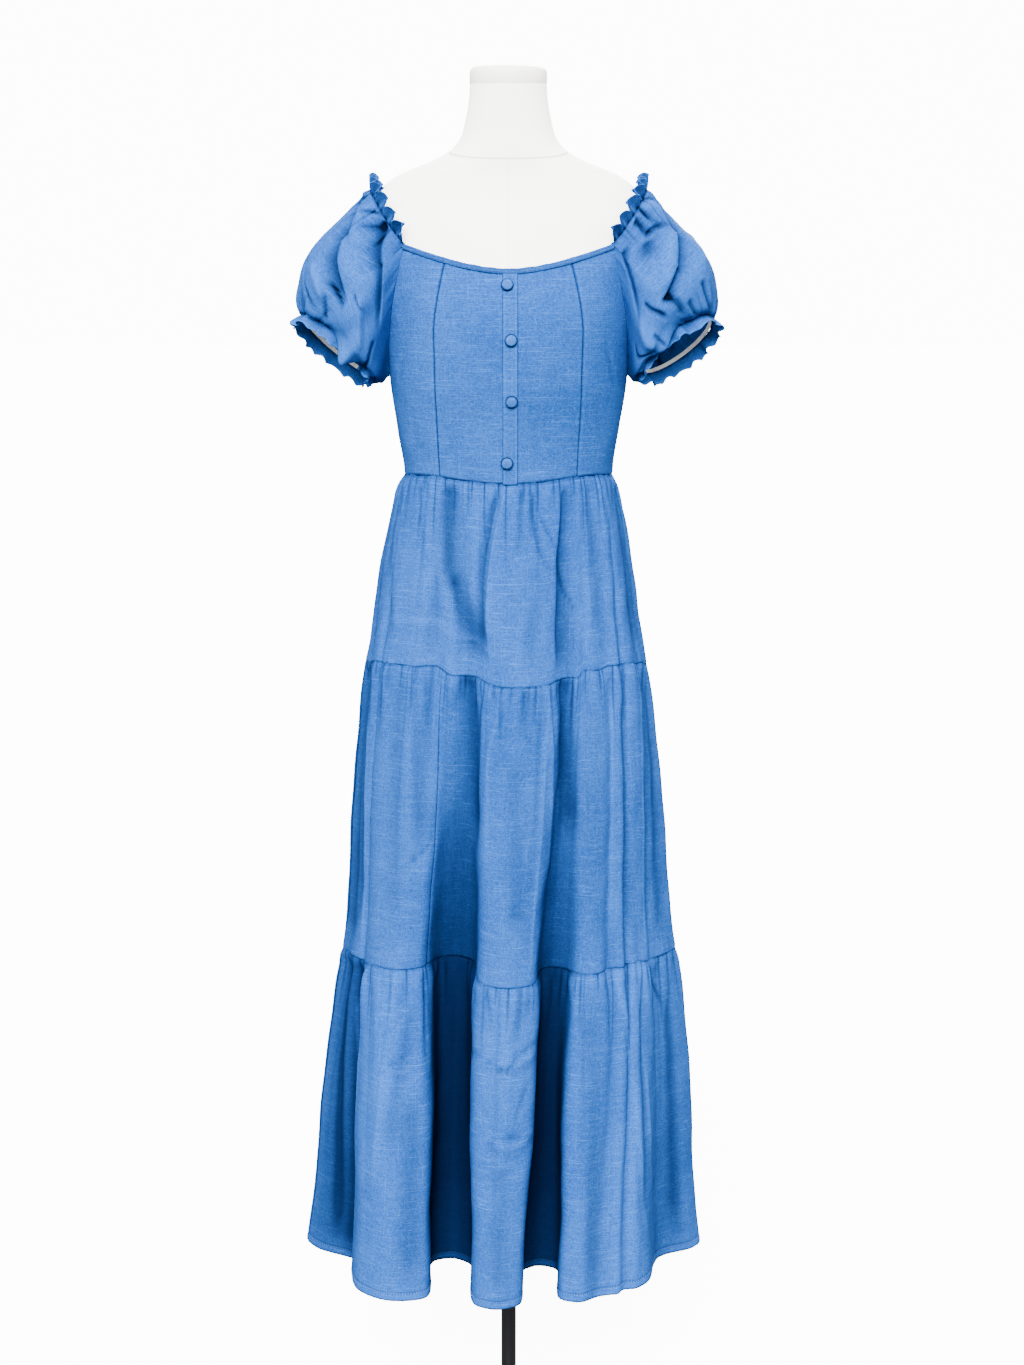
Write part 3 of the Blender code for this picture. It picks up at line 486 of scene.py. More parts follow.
# Soft creases on the bodice: the turn and height of each end, half width, depth
BODICE_CREASES = (
    (-34, 1.392, -12, 1.386, 0.0040, -0.0006),
    (-30, 1.352, -8, 1.343, 0.0050, -0.0006),
    (4, 1.421, 24, 1.428, 0.0040, -0.0005),
    (5, 1.352, 25, 1.340, 0.0050, -0.0006),
    (-24, 1.300, -6, 1.292, 0.0050, -0.0005),
    (6, 1.286, 26, 1.296, 0.0050, -0.0005),
    (-50, 1.400, -66, 1.330, 0.0060, -0.0012),
    (52, 1.398, 66, 1.325, 0.0060, -0.0012),
    (-47, 1.330, -60, 1.262, 0.0060, -0.0010),
    (48, 1.328, 62, 1.258, 0.0060, -0.0010),
    (128, 1.420, 150, 1.350, 0.0080, -0.0012),
    (-130, 1.415, -154, 1.352, 0.0080, -0.0012),
    (140, 1.300, 168, 1.268, 0.0070, -0.0010),
    (-142, 1.298, -166, 1.270, 0.0070, -0.0010),
)


def from_line(along, up, start_along, start_up, end_along, end_up):
    """How far places on the cloth are along a line on it and beside it, and the line's length."""
    run = np.array([end_along - start_along, end_up - start_up])
    length = np.hypot(*run)
    run = run / length
    ahead = (along - start_along) * run[0] + (up - start_up) * run[1]
    beside = (up - start_up) * run[0] - (along - start_along) * run[1]
    return ahead, beside, length


def crease_relief(along, up, creases):
    """The height that creases add, where along and up are places on the cloth in metres."""
    relief = np.zeros(len(along))
    for *line, half_width, depth in creases:
        ahead, beside, length = from_line(along, up, *line)
        beside = beside + 0.06 * length * np.sin(np.pi * np.clip(ahead / length, 0, 1))
        share = np.clip(ahead / length, -0.5, 1.5)
        taper = np.clip(1 - np.abs(2 * share - 1) ** 2.5, 0.0, 1.0)
        relief += depth * taper * near(beside, half_width)
    return relief


def bodice_off(turn, height):
    """How far the bodice's outer face stands off the form, with its soft creases and its ease."""
    creases = [(start * CUT_PER_DEGREE, start_up, end * CUT_PER_DEGREE, *rest)
               for start, start_up, end, *rest in BODICE_CREASES]
    off = cloth_off(height) + crease_relief(turn * CUT_PER_DEGREE, height, creases)
    return off + 0.0004 * np.sin(turn * 0.21 + 14 * height) * np.sin(height * 62 + turn * 0.05)


def sewn_edge(edge, rise):
    """How far a panel tucks in near its seams and the waist, and its colour there: a little paler just beside
    each seam where it is rubbed, and painted shade along the seams and the waist seam.
    """
    tuck = near(edge, 0.0016) * 0.0011 + near(rise, 0.0015) * 0.0008
    wear_and_painted_light = 0.14 * near(edge - 0.0028, 0.0014) - 0.70 * near(edge, 0.0009) - 0.6 * near(rise, 0.0011)
    return tuck, wear_and_painted_light


def lay_panel(turn_start, turn_end, corner_share, columns):
    """How a panel is laid between two seams, with a column on the neckline's corner."""
    corner_share = corner_share or 0.5
    step = round(corner_share * columns) / columns

    def lay(u, v):
        share = np.interp(u, [0.0, step, 1.0], [0.0, corner_share, 1.0])
        neck, waist = np.full(len(u), NECK_CENTRE_Z), np.full(len(u), WAIST_Z)
        top_turn = mix(turn_start(neck), turn_end(neck), share)
        low = waist_height(mix(turn_start(waist), turn_end(waist), share)) - 0.0002
        height = mix(low, bodice_top(top_turn), v)
        start, end = turn_start(height), turn_end(height)
        turn = mix(start, end, share)
        edge = np.minimum(share, 1 - share) * np.abs(end - start) * CUT_PER_DEGREE
        tuck, wear_and_painted_light = sewn_edge(edge, height - low)
        pucker = 0.00025 * np.sin(height * 1150) * near(edge - 0.003, 0.004)
        off = bodice_off(turn, height) - tuck + pucker
        return on_form(turn, height, off), np.stack([turn * CUT_PER_DEGREE, height], axis=-1), wear_and_painted_light

    return lay


princess_top = float(princess_turn(np.array([NECK_CENTRE_Z]))[0])
corner_share = (CORNER_TURN - princess_top) / (90 - princess_top)
BODICE_PANELS = (
    ("bodice_side_front_left", lambda z: -90 + 0 * z, lambda z: -princess_turn(z), 1 - corner_share,
     (0.115, 0.275)),
    ("bodice_centre_front_left", lambda z: -princess_turn(z), lambda z: 0 * z, 0.0, (0.088, 0.245)),
    ("bodice_centre_front_right", lambda z: 0 * z, princess_turn, 0.0, (0.088, 0.245)),
    ("bodice_side_front_right", princess_turn, lambda z: 90 + 0 * z, corner_share, (0.115, 0.275)),
)
for node, turn_start, turn_end, corner, cut in BODICE_PANELS:
    panel = laid_grid(node + "_cloth", 52, 72, lay_panel(turn_start, turn_end, corner, 52), chambray,
                      wall=PANEL_WALL)
    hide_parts(node)

BACK_COLUMNS, BACK_WIDTH = 110, 0.36


def front_or_back(turn):
    """Turns past the centre back as turns from the other side."""
    return np.where(turn <= 180, turn, turn - 360)


def lay_back(u, v):
    """How the back is laid from side seam to side seam, with a column on each neck corner."""
    corner = (BACK_CORNER_TURN - 90) / 180
    step = round(corner * BACK_COLUMNS) / BACK_COLUMNS
    share = np.interp(u, [0.0, step, 1 - step, 1.0], [0.0, corner, 1 - corner, 1.0])
    turn = front_or_back(90 + 180 * share)
    low = waist_height(turn) - 0.0002
    height = mix(low, bodice_top(turn), v)
    tuck, wear_and_painted_light = sewn_edge(np.minimum(share, 1 - share) * BACK_WIDTH, height - low)
    off = bodice_off(turn, height) - tuck
    return on_form(turn, height, off), np.stack([share * BACK_WIDTH, height], axis=-1), wear_and_painted_light


back = laid_grid("bodice_back_cloth", BACK_COLUMNS, 64, lay_back, chambray, wall=PANEL_WALL)
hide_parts("bodice_back")

# Topstitching. Pale blue thread is sewn in rows of short stitches, which sink into the cloth at both
# ends. The rows follow the placket's edges, the neck bands and the hem.
sewing_thread, thread_tree, thread_shader = new_material("sewing_thread", {
    "Roughness": 0.6, "Specular IOR Level": 0.2})
thread_tint = mixed_colour(thread_tree, grain(thread_tree, 500.0),
                           (0.020, 0.080, 0.300, 1.0), (0.070, 0.200, 0.560, 1.0))
# Each stitch takes on the painted shade of the cloth under it, and goes toward deep indigo where that cloth
# is painted dark.
thread_wear_and_painted_light = add_node(thread_tree, "ShaderNodeAttribute", {}, attribute_name="wear_and_painted_light")
thread_painted_shade = add_node(thread_tree, "ShaderNodeMapRange", {
    "Value": thread_wear_and_painted_light.outputs["Fac"], "From Min": -0.1, "From Max": -0.8})
fill_inputs(thread_tree, thread_shader, {"Base Color": mixed_colour(
    thread_tree, thread_painted_shade.outputs["Result"], thread_tint, (0.0010, 0.0120, 0.0600, 1.0))})
STITCH_VERTICES = 12


def stitch_rows(name, lay, rows):
    """Short stitches along rows of a laid piece. A row is its v, or its u if it is upright, where it
    starts and ends, how many stitches it has, and whether it is upright."""
    sewn = bmesh.new()
    depth = []
    for fixed, first, last, count, upright in rows:
        middle = mix(first, last, (np.arange(count) + 0.5) / count)
        half = 0.36 * (last - first) / count
        level = np.full(count, fixed)
        beside = level + (0.01 if upright else 0.004)
        ends = ((level, middle - half), (level, middle + half), (beside, middle), (level, middle))
        spots = [lay(*(pair if upright else pair[::-1])) for pair in ends]
        # Each stitch gets the colour value of the cloth under it, painted shade and highlight included.
        depth.extend(np.repeat(spots[3][2], STITCH_VERTICES))
        for start, end, side in zip(*(spot[0] for spot in spots[:3])):
            start, end, side = Vector(start), Vector(end), Vector(side)
            run = (end - start).normalized()
            facing = run.cross(side - start).normalized() * (-1.0 if upright else 1.0)
            turned = Matrix((run, facing.cross(run), facing)).transposed().to_4x4()
            size = Matrix.Diagonal(((end - start).length / 2, 0.00028, 0.00022, 1.0))
            bmesh.ops.create_icosphere(sewn, subdivisions=1, radius=1.0, matrix=Matrix.Translation(
                (start + end) / 2 + facing * 0.00012) @ turned @ size)
    piece = show_mesh(name, sewn, sewing_thread)
    wear_and_painted_light = piece.data.attributes.new("wear_and_painted_light", "FLOAT", "POINT")
    wear_and_painted_light.data.foreach_set("value", np.array(depth, dtype=np.float32))
    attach(piece, "root")
    return piece


# Button stand. A narrow folded strip of chambray is stitched down the centre front from the neck
# band to the waist, and carries four shank buttons covered in the same cloth.
PLACKET_X = (-0.0065, 0.0110)


def lay_placket(u, v):
    """How the strip is laid over the two centre fronts, its long edges pressed down."""
    x = mix(PLACKET_X[0], PLACKET_X[1], u)
    height = mix(WAIST_Z - 0.0034, front_neck_height(x) - 0.0055, v)
    edge = np.minimum(u, 1 - u) * (PLACKET_X[1] - PLACKET_X[0])
    off = cloth_off(height) + 0.0019 - 0.0010 * near(edge, 0.0008) - 0.0004 * near(edge - 0.0028, 0.0008)
    off = off + 0.00018 * np.sin(height * 900 + 3 * u)
    points = on_form(turn_at(x, height, off), height, off)
    # Paler along its pressed edges, with painted shade where each edge meets the bodice.
    wear_and_painted_light = 0.22 * near(edge - 0.0017, 0.0008) - 0.70 * near(edge, 0.0006)
    return points, np.stack([x + 0.3, height], axis=-1), wear_and_painted_light


strip = laid_grid("button_strip", 24, 110, lay_placket, chambray, wall=PANEL_WALL)
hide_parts("button_placket")
stitch_rows("placket_stitches", lay_placket, ((0.16, 0.01, 0.99, 84, True), (0.84, 0.01, 0.99, 84, True)))

# Each button's x, its height and how far it stands off the strip
BUTTONS = ((-0.0012, 1.449, 0.0006), (0.0030, 1.388, 0.0007),
           (0.0036, 1.319, 0.0008), (-0.0016, 1.248, 0.0011))
BUTTON_RADIUS = 0.0069
button_cloth = chambray_cloth(
    "button_chambray", (0.0070, 0.0430, 0.1850, 1.0), (0.0420, 0.1500, 0.4700, 1.0), slub_share=0.5)
for number, (x, height, gap) in enumerate(BUTTONS, start=1):
    button = turned_piece(f"covered_button_{number}", (
        (0, 5), (2, 4.9), (3.8, 4.6), (5.2, 4.1), (6.2, 3.4), (6.9, 2.5), (7.2, 1.7), (7, 1.1),
        (6.4, 0.8), (3, 0.7), (2.7, -0.6), (0, -0.6)), 48, button_cloth)
    mesh = button.data
    flat = mesh.uv_layers.new(name="cut")
    for loop in mesh.loops:
        corner = mesh.vertices[loop.vertex_index].co
        flat.data[loop.index].uv = (corner.x + 0.1 * number, corner.y)
    # Each button's colour carries painted light: a pale ring of painted highlight on its dome and painted
    # shade round its rim.
    rim = mesh.attributes.new("wear_and_painted_light", "FLOAT", "POINT")
    for spot in mesh.vertices:
        reach = math.hypot(*spot.co.xy) / BUTTON_RADIUS
        pale = 0.45 * math.exp(-((reach - 0.66) / 0.13) ** 2)
        rim.data[spot.index].value = 0.15 + pale - 1.3 * min(1.0, reach) ** 8
    off = float(cloth_off(height)) + 0.0019
    turn = float(turn_at(x, height, off))
    spots = [Vector(on_form(np.array([a]), np.array([b]), np.array([off]))[0]) for a, b in (
        (turn, height), (turn, height + 0.006), (turn, height - 0.006), (turn + 3, height))]
    outward = (spots[3] - spots[0]).cross(spots[1] - spots[2]).normalized()
    mesh.transform(Matrix.Translation(spots[0] + outward * gap) @
                   outward.to_track_quat("Z", "Y").to_matrix().to_4x4())
    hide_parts(f"button_{number}")


# Neck bands. The neck's edges are turned under a narrow self strip, pressed flat and held by two
# rows of stitches, so its edge is rubbed a little pale.
def lay_band(turn_start, turn_end):
    """How a neck band is laid along the bodice's upper edge between two turns."""

    def lay(u, v):
        turn = front_or_back(mix(turn_start, turn_end, u))
        height = bodice_top(turn) - 0.0062 * (1 - v) + 0.0005 * v
        fold = near(1 - v, 0.16) * 0.0007 + near(v, 0.12) * 0.0010
        row = (near(v - 0.28, 0.08) + near(v - 0.74, 0.08)) * 0.0003
        ripple = 0.00022 * np.sin(turn * 21) * (0.4 + np.abs(np.sin(turn * 0.9)))
        off = cloth_off(height) + 0.0021 - fold - row + ripple
        height = height + 0.00025 * np.sin(turn * 17 + 1) * v
        # Paler along the band's folded top edge where it is rubbed, with painted shade at its lower edge and
        # in the two stitch grooves, and a little darker all over.
        wear_and_painted_light = 0.30 * near(1 - v, 0.12) - 0.75 * near(v, 0.10) - 0.40 * row / 0.0003 - 0.16
        spread_out = np.stack([turn * CUT_PER_DEGREE, v * 0.0062 + 0.6], axis=-1)
        return on_form(turn, height, off), spread_out, wear_and_painted_light

    return lay


BAND_STITCHES = ((0.28, 0.004, 0.996), (0.74, 0.004, 0.996))
front_lay = lay_band(0.5 - CORNER_TURN, CORNER_TURN - 0.5)
front_band = laid_grid("neck_band_front", 260, 14, front_lay, chambray, wall=PANEL_WALL)
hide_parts("neckline_band_front")
stitch_rows("front_neck_stitches", front_lay, [(*row, 104, False) for row in BAND_STITCHES])
back_lay = lay_band(BACK_CORNER_TURN + 0.5, 359.5 - BACK_CORNER_TURN)
back_band = laid_grid("neck_band_back", 240, 14, back_lay, chambray, wall=PANEL_WALL)
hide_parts("neckline_band_back")
stitch_rows("back_neck_stitches", back_lay, [(*row, 100, False) for row in BAND_STITCHES])

# Skirt. Three tiers of chambray, each gathered into the one above it, so small pleats leave each
# seam, run together and open into the big hanging folds that the hem shows.
TIER_WALL = 0.0008
TIER1_DROP = 0.225
STITCH_LENGTH = 0.0034
HEM_ROWS = (0.0475, 0.0515)
FOLD_FACES = (-92, -62, -15, -12, 0, 8, 10, 18, 32, 60, 90, 112, 136, 158, 168, 180, 190, 203, 226, 248)
FOLD_SIGNS = (1, -1, 1, -1, 1, -1, 1, -0.15, 0.7, -0.4, 1, -1, 1, -1, 1, -1, 1, -1, 1, -1)
# Each fold of a seam, in millimetres: x, distance to the front, half width, lift
TIER2_SEAM = (
    (-172, -12, 18, 0), (-148, 55, 8, 9), (-108, 98, 22, 11), (-50, 106, 12, 2), (12, 142, 30, -6),
    (72, 104, 7, -1), (98, 103, 8, 7), (122, 85, 5, 10), (139, 68, 7, 9), (154, 38, 7, 5),
    (166, -12, 18, -3), (148, -66, 10, 0), (119, -102, 18, 2), (78, -118, 10, 0), (41, -143, 16, -2),
    (2, -126, 12, 0), (-44, -145, 18, -3), (-85, -116, 10, 1), (-121, -103, 18, 3), (-152, -64, 10, 1),
)
TIER3_SEAM = (
    (-204, -20, 18, -2), (-174, 36, 7, -2), (-138, 90, 27, 2), (-62, 42, 14, 5), (0, 144, 26, -5),
    (52, 76, 10, 1), (98, 108, 13, 1), (128, 80, 8, 1), (150, 61, 9, 1), (171, 34, 7, -2),
    (205, -16, 18, -1), (180, -64, 12, 0), (150, -114, 20, 2), (102, -98, 14, 4), (63, -156, 22, -2),
    (18, -104, 14, 3), (-31, -162, 24, -4), (-82, -100, 14, 3), (-131, -126, 22, 2), (-175, -66, 12, 0),
)
HEM = (
    (-254, -22, 22, -1), (-194, 46, 10, 0), (-143, 166, 38, 0), (-67, 62, 16, 9), (-14, 183, 20, -4),
    (36, 68, 14, 2), (86, 168, 17, -1), (121, 147, 10, -1), (152, 131, 15, 0), (185, 40, 8, 0),
    (240, -14, 24, 1), (202, -80, 14, 2), (180, -148, 26, 0), (120, -106, 16, 4), (79, -200, 28, -3),
    (24, -110, 16, 4), (-31, -206, 30, -4), (-88, -104, 18, 4), (-149, -164, 28, 0), (-204, -84, 14, 2),
)


def seam_line(rows, seam_z):
    """Three points of a seam for each fold: its two shoulders and its middle."""
    points = []
    for faces, sign, row in zip(FOLD_FACES, FOLD_SIGNS, rows):
        x, depth, half, lift = np.array(row) / 1000
        angle = math.radians(faces)
        outward = np.array([math.sin(angle), -math.cos(angle), 0.0])
        along = np.array([math.cos(angle), math.sin(angle), 0.0])
        middle = np.array([x, -depth, seam_z + lift])
        inward = outward * (-0.42 * half * sign)
        points += [middle - along * half + inward, middle, middle + along * half + inward]
    return np.array(points)


def waist_line(below):
    """The waist seam's points, each at the turn of the point below it."""
    turn = np.degrees(np.arctan2(below[:, 0], -below[:, 1]))
    height = waist_height(turn)
    return on_form(turn, height, cloth_off(height))


def line_marks(*lines):
    """The place from 0 to 1 of each point round the skirt, averaged over some seams."""
    steps = 0
    for line in lines:
        lengths = np.linalg.norm(np.roll(line, -1, axis=0) - line, axis=1)
        steps = steps + lengths / lengths.sum() / len(lines)
    return np.concatenate([[0.0], np.cumsum(steps)[:-1]])


def along_line(line, marks, place):
    """Points of the smooth closed curve through a line's points, at an array of places."""
    count = len(line)
    place = place % 1.0
    index = np.searchsorted(marks, place, side="right") - 1
    after = np.append(marks, 1.0)
    part = ((place - marks[index]) / (after[index + 1] - marks[index]))[:, None]
    own = line_marks(line)
    mark = np.concatenate([own - 1, own, own + 1])
    point = np.concatenate([line, line, line])

    def pull(at):
        step_in = mark[at] - mark[at - 1]
        step_out = mark[at + 1] - mark[at]
        into = (point[at] - point[at - 1]) / step_in[:, None]
        out = (point[at + 1] - point[at]) / step_out[:, None]
        return (into * step_out[:, None] + out * step_in[:, None]) / (step_in + step_out)[:, None]

    at = index + count
    step = (mark[at + 1] - mark[at])[:, None]
    return smooth_step(part, point[at], pull(at) * step, point[at + 1], pull(at + 1) * step)


def tier_section(line_above, line_below, marks, place, down):
    """Points between two seams, at places round the skirt and shares of the way down."""
    return mix(along_line(line_above, marks, place), along_line(line_below, marks, place), down[:, None])


def unit(vectors):
    """Rows of vectors at a length of 1."""
    return vectors / np.linalg.norm(vectors, axis=1)[:, None]


def level_outward(along):
    """Level unit vectors at a right angle to vectors that run round the skirt."""
    return unit(np.stack([along[:, 1], -along[:, 0], np.zeros(len(along))], axis=-1))


class Pleats:
    """Uneven gathers round a seam: where each is pinched, how full it is, and how far down it runs."""

    def __init__(self, count, depth, reach, seed):
        number = np.arange(-1, count + 1)
        turn = number % count
        uneven = 0.30 * np.sin(turn * 2.39 + seed) + 0.17 * np.sin(turn * 5.13 + 2 * seed)
        self.pinches = (number + 0.5 + uneven) / count
        fullness = 0.62 + 0.38 * np.sin(turn[1:] * 1.73 + 3 * seed)
        self.depth = depth * (0.45 + 0.75 * fullness)
        run = 0.5 + 0.5 * np.sin(turn[1:] * 2.71 + 5 * seed)
        self.reach = reach * (0.45 + 1.3 * run ** 2)

    def relief(self, place, fallen, round_top):
        """How far the pleats stand out at places round the seam, a distance below it."""
        place = place % 1.0
        index = np.clip(np.searchsorted(self.pinches, place) - 1, 0, len(self.depth) - 1)
        left = self.pinches[index]
        share = (place - left) / (self.pinches[index + 1] - left)
        tight = np.sin(np.pi * np.clip(share, 0.0, 1.0)) ** 0.72
        soft = np.sin(np.pi * share) ** 2
        reach = self.reach[index]
        fade = np.clip(1 - fallen / reach, 0.0, 1.0) ** 1.4
        sharp = np.clip(1 - fallen / (0.7 * reach), 0.0, 1.0)
        return self.depth[index] * fade * mix(soft, tight, sharp * round_top)

    def crease(self, place, fallen, cut_width):
        """The painted shade where two pleats meet, a dark line which fades out below the seam."""
        place = place % 1.0
        nearest = np.clip(np.searchsorted((self.pinches[1:] + self.pinches[:-1]) / 2, place), 0,
                          len(self.pinches) - 1)
        away = np.abs(place - self.pinches[nearest]) * cut_width
        reach = self.reach[np.clip(nearest, 0, len(self.reach) - 1)]
        return near(away, 0.0011 + 0.020 * fallen) * np.clip(1 - fallen / (0.9 * reach), 0.0, 1.0) ** 0.8


def hand_folds(along, up, folds):
    """The height and the shade that the listed folds add at places on the cut."""
    relief = np.zeros(len(along))
    shade = np.zeros(len(along))
    for *placed, broad, bow in folds:
        *line, start_half, end_half, start, end = np.array(placed) / 1000
        ahead, beside, length = from_line(along, up, *line)
        share = np.clip(ahead / length, 0.0, 1.0)
        beside = beside + bow * length * np.sin(np.pi * share)
        half = mix(start_half, end_half, share) * (1 + broad * np.sign(beside))
        soft = 0.004 + 0.10 * length
        ends = np.clip((ahead + 0.5 * soft) / soft, 0, 1)
        ends = ends * np.clip((length + soft - ahead) / (2 * soft), 0, 1)
        shape = near(beside, half) * ends ** 1.3
        height = mix(start, end, share)
        relief += height * shape
        # Valleys get painted shade, crisper for narrow ones, and narrow raised folds a painted highlight.
        crisp = height / (0.0050 * np.clip(half / 0.006, 0.4, 1.0))
        shade += np.clip(crisp, -1.0, 0.4 * near(half, 0.016)) * shape
    return relief, shade


def fold_shadow(section, place):
    """How shut in the cloth is between the big folds, from 0 on a ridge to 1 deep in a valley."""
    here = section(place)
    chords = [section(place + shift) - section(place - shift) for shift in (0.02, 0.04, 0.06, 0.08)]
    broad = level_outward(sum(chords))
    shut = np.zeros(len(place))
    for sign in (1, -1):
        rim = np.zeros(len(place))
        for shift in (0.005, 0.009, 0.014, 0.020, 0.027, 0.035, 0.045, 0.056, 0.070):
            reach = section(place + sign * shift) - here
            rim = np.maximum(rim, np.sum(reach * broad, axis=1) / (np.linalg.norm(reach, axis=1) + 0.004))
        shut += 0.5 * rim
    return np.clip(shut, 0.0, 1.0)


def tier_layer(line_above, line_below, drop, cut_width, pleats, pleats_below, belly, folds, first, last,
               hemmed):
    """How one piece of a tier is laid between the seam above it and the seam or hem below it."""
    marks = line_marks(line_above, line_below)
    small, large = pleats

    def lay(u, v):
        place = mix(first, last, u)
        down = (1 - v) - 0.55 / (2 * np.pi) * np.sin(2 * np.pi * (1 - v))
        turn = place + marks[1]

        def section(where):
            return tier_section(line_above, line_below, marks, where, down)

        outward = level_outward(section(turn + 0.004) - section(turn - 0.004))
        fallen = down * drop
        circle = 2 * np.pi * place
        lean = 0.0035 * np.sin(circle * 7 + 1.3) + 0.002 * np.sin(circle * 16)
        run = place + lean * down
        rise = 1 - near(fallen, 0.0090)
        relief = small.relief(run, fallen, 1.0) * (0.12 + 0.88 * rise)
        relief += large.relief(run, np.maximum(fallen - 0.004, 0), 0.0) * (1 - near(fallen, 0.030))
        relief += belly * np.sin(np.pi * np.minimum(1.0, down / 0.75))
        if drop == TIER1_DROP:
            relief += 0.0050 * near(np.minimum(place, 1 - place), 0.05) * np.sin(np.pi * down) ** 1.3
        placed, shade = hand_folds(place * cut_width, -fallen, folds)
        under = drop - fallen
        settle = 1.0 if hemmed else 1 - near(under, 0.022)
        relief += placed * rise * settle
        relief += 0.0006 * np.sin(circle * 23 + 9 * down) * np.sin(fallen * 55 + circle * 9)
        relief -= 0.0024 * near(fallen, 0.0016)
        if hemmed:
            relief += 0.0006 * near(under - 0.0050, 0.0035) - 0.0005 * near(under - 0.0100, 0.0012)
        else:
            relief -= 0.0004 * near(under, 0.0014)
            relief += 0.0006 * (pleats_below.relief(place, 0.0 * place, 0.4) /
                                pleats_below.depth.max()) * near(under - 0.004, 0.008)
        edge = np.minimum(u, 1 - u) * (last - first) * cut_width
        relief -= 0.0010 * near(edge, 0.0016)
        points = section(turn) + outward * relief[:, None]
        points[:, 2] += 0.0040 * near(fallen, 0.0005) - (0.0 if hemmed else 0.0004) * down
        # The tier's colour is mostly painted light: painted highlights on raised folds, and painted shade
        # deep between the big folds, in the creases between pleats, under each seam and along the hem's edge
        # and stitch groove. The hem's fold is a little paler as well.
        wear_and_painted_light = 0.62 * np.maximum(shade, 0.0)
        shut = fold_shadow(section, turn)
        if hemmed:
            shut = np.clip((shut - 0.06) / 0.72, 0.0, 1.0)
            deepest = 0.985 - 0.045 * down ** 3 - 0.05 * (1 - down) ** 4
            wear_and_painted_light += 0.14 * near(under - 0.0048, 0.0030)
            line = 0.55 * near(under, 0.0013) + 0.45 * near(under - 0.0098, 0.0010)
        else:
            shut = np.clip((shut - 0.16) / 0.76, 0.0, 1.0)
            deepest = 0.945
            line = 0.0
        lit = (1 - deepest * shut ** 2 * (3 - 2 * shut)) * (1 - np.clip(-0.62 * shade, 0.0, 0.9))
        lit = lit * (1 - 0.85 * small.crease(run, fallen, cut_width)) * (1 - line)
        lit = lit * (1 - 0.30 * large.crease(run, fallen, cut_width)) * (1 - 0.9 * near(fallen, 0.0016))
        return points, np.stack([place * cut_width, -fallen], axis=-1), wear_and_painted_light - (1 - lit)

    return lay


def fold_place(marks, index):
    """The place of a fold's middle round the skirt, from the left side seam."""
    return float(marks[3 * index + 1] - marks[1])


tier2_line = seam_line(TIER2_SEAM, 1.001)
tier3_line = seam_line(TIER3_SEAM, 0.643)
hem_line = seam_line(HEM, 0.260)
waist = waist_line(tier2_line)
waist_pleats = (Pleats(60, 0.0042, 0.060, 0.4), Pleats(19, 0.0040, 0.200, 1.1))
tier2_pleats = (Pleats(80, 0.0050, 0.052, 1.9), Pleats(27, 0.0046, 0.210, 2.3))
tier3_pleats = (Pleats(92, 0.0056, 0.056, 0.9), Pleats(31, 0.0056, 0.220, 3.7))

# Folds and creases listed on the cut, in millimetres: along and up at each end, half width at
# each end, height at each end (below zero for a valley), then which side is broader, and the bow
TIER1_FOLDS = (
    (76, -170, 248, -190, 3.6, 3.6, 1.8, 1.4, 0, -0.03),
    (172, -8, 174, -119, 14, 15, -5, -5.5, 0.30, 0.02),
    (12, -30, 16, -212, 10, 12, -3.6, -4.6, 0, 0),
    (496, -20, 490, -212, 11, 13, -3.4, -4.2, 0, 0),
    (178, -112, 214, -201, 11, 20, -5.5, -5, 0.30, 0),
    (264, -8, 238, -186, 6, 9, 5, 4.6, 0.60, 0.05),
    (252, -10, 224, -192, 4, 8, -3.6, -4, -0.20, 0.05),
    (306, -10, 330, -100, 2.6, 3.2, -2.2, -1.2, 0.20, 0.10),
    (318, -39, 340, -75, 2.2, 2.6, -1.5, -0.8, 0, 0),
    (358, -10, 346, -87, 6, 8, -4.5, -5, 0.60, 0),
    (346, -81, 350, -213, 8, 16, -5, -5.5, 0.60, 0),
    (346, -93, 378, -150, 2, 2.4, -1.5, -0.7, 0, 0.08),
    (112, -12, 130, -100, 4, 7, -2.2, -1.2, 0, 0),
    (152, -112, 144, -213, 6, 9, -1.8, -2.2, 0, 0),
    (290, -6, 284, -75, 3.5, 5, -2.4, -1.2, 0, 0),
    (34, -31, 88, -198, 7, 11, -1.6, -2, -0.30, 0),
    (408, -12, 414, -194, 7, 11, -2.2, -1.6, 0.30, 0),
    (226, -20, 210, -138, 7, 10, 2, 1.5, 0, 0),
    (306, -132, 298, -207, 9, 12, -1.2, -1.8, 0, 0),
    (560, -10, 548, -130, 7, 11, -3, -2, 0, 0.04),
    (600, -8, 622, -190, 6, 12, -4.4, -3.6, 0.40, 0.03),
    (668, -10, 652, -150, 5, 8, 2.8, 1.8, -0.40, 0.05),
    (704, -8, 716, -80, 3, 4, -2.4, -1, 0, 0.08),
    (742, -12, 736, -200, 8, 16, -4.6, -5, -0.50, 0.02),
    (790, -8, 806, -120, 5, 8, -2.4, -1.4, 0, 0.06),
    (838, -10, 850, -205, 7, 11, 3, 2.6, 0.50, 0),
    (866, -70, 896, -120, 2.2, 2.4, -1.4, -0.7, 0, 0.10),
    (902, -8, 886, -180, 7, 12, -4, -4, 0.30, 0.03),
    (960, -10, 972, -150, 5, 9, -2.4, -1.8, 0, 0.04),
    (1006, -10, 1000, -190, 6, 10, -2, -2.4, 0, 0),
    (640, -176, 790, -168, 2, 2, 0.8, 0.5, 0, 0.05),
)
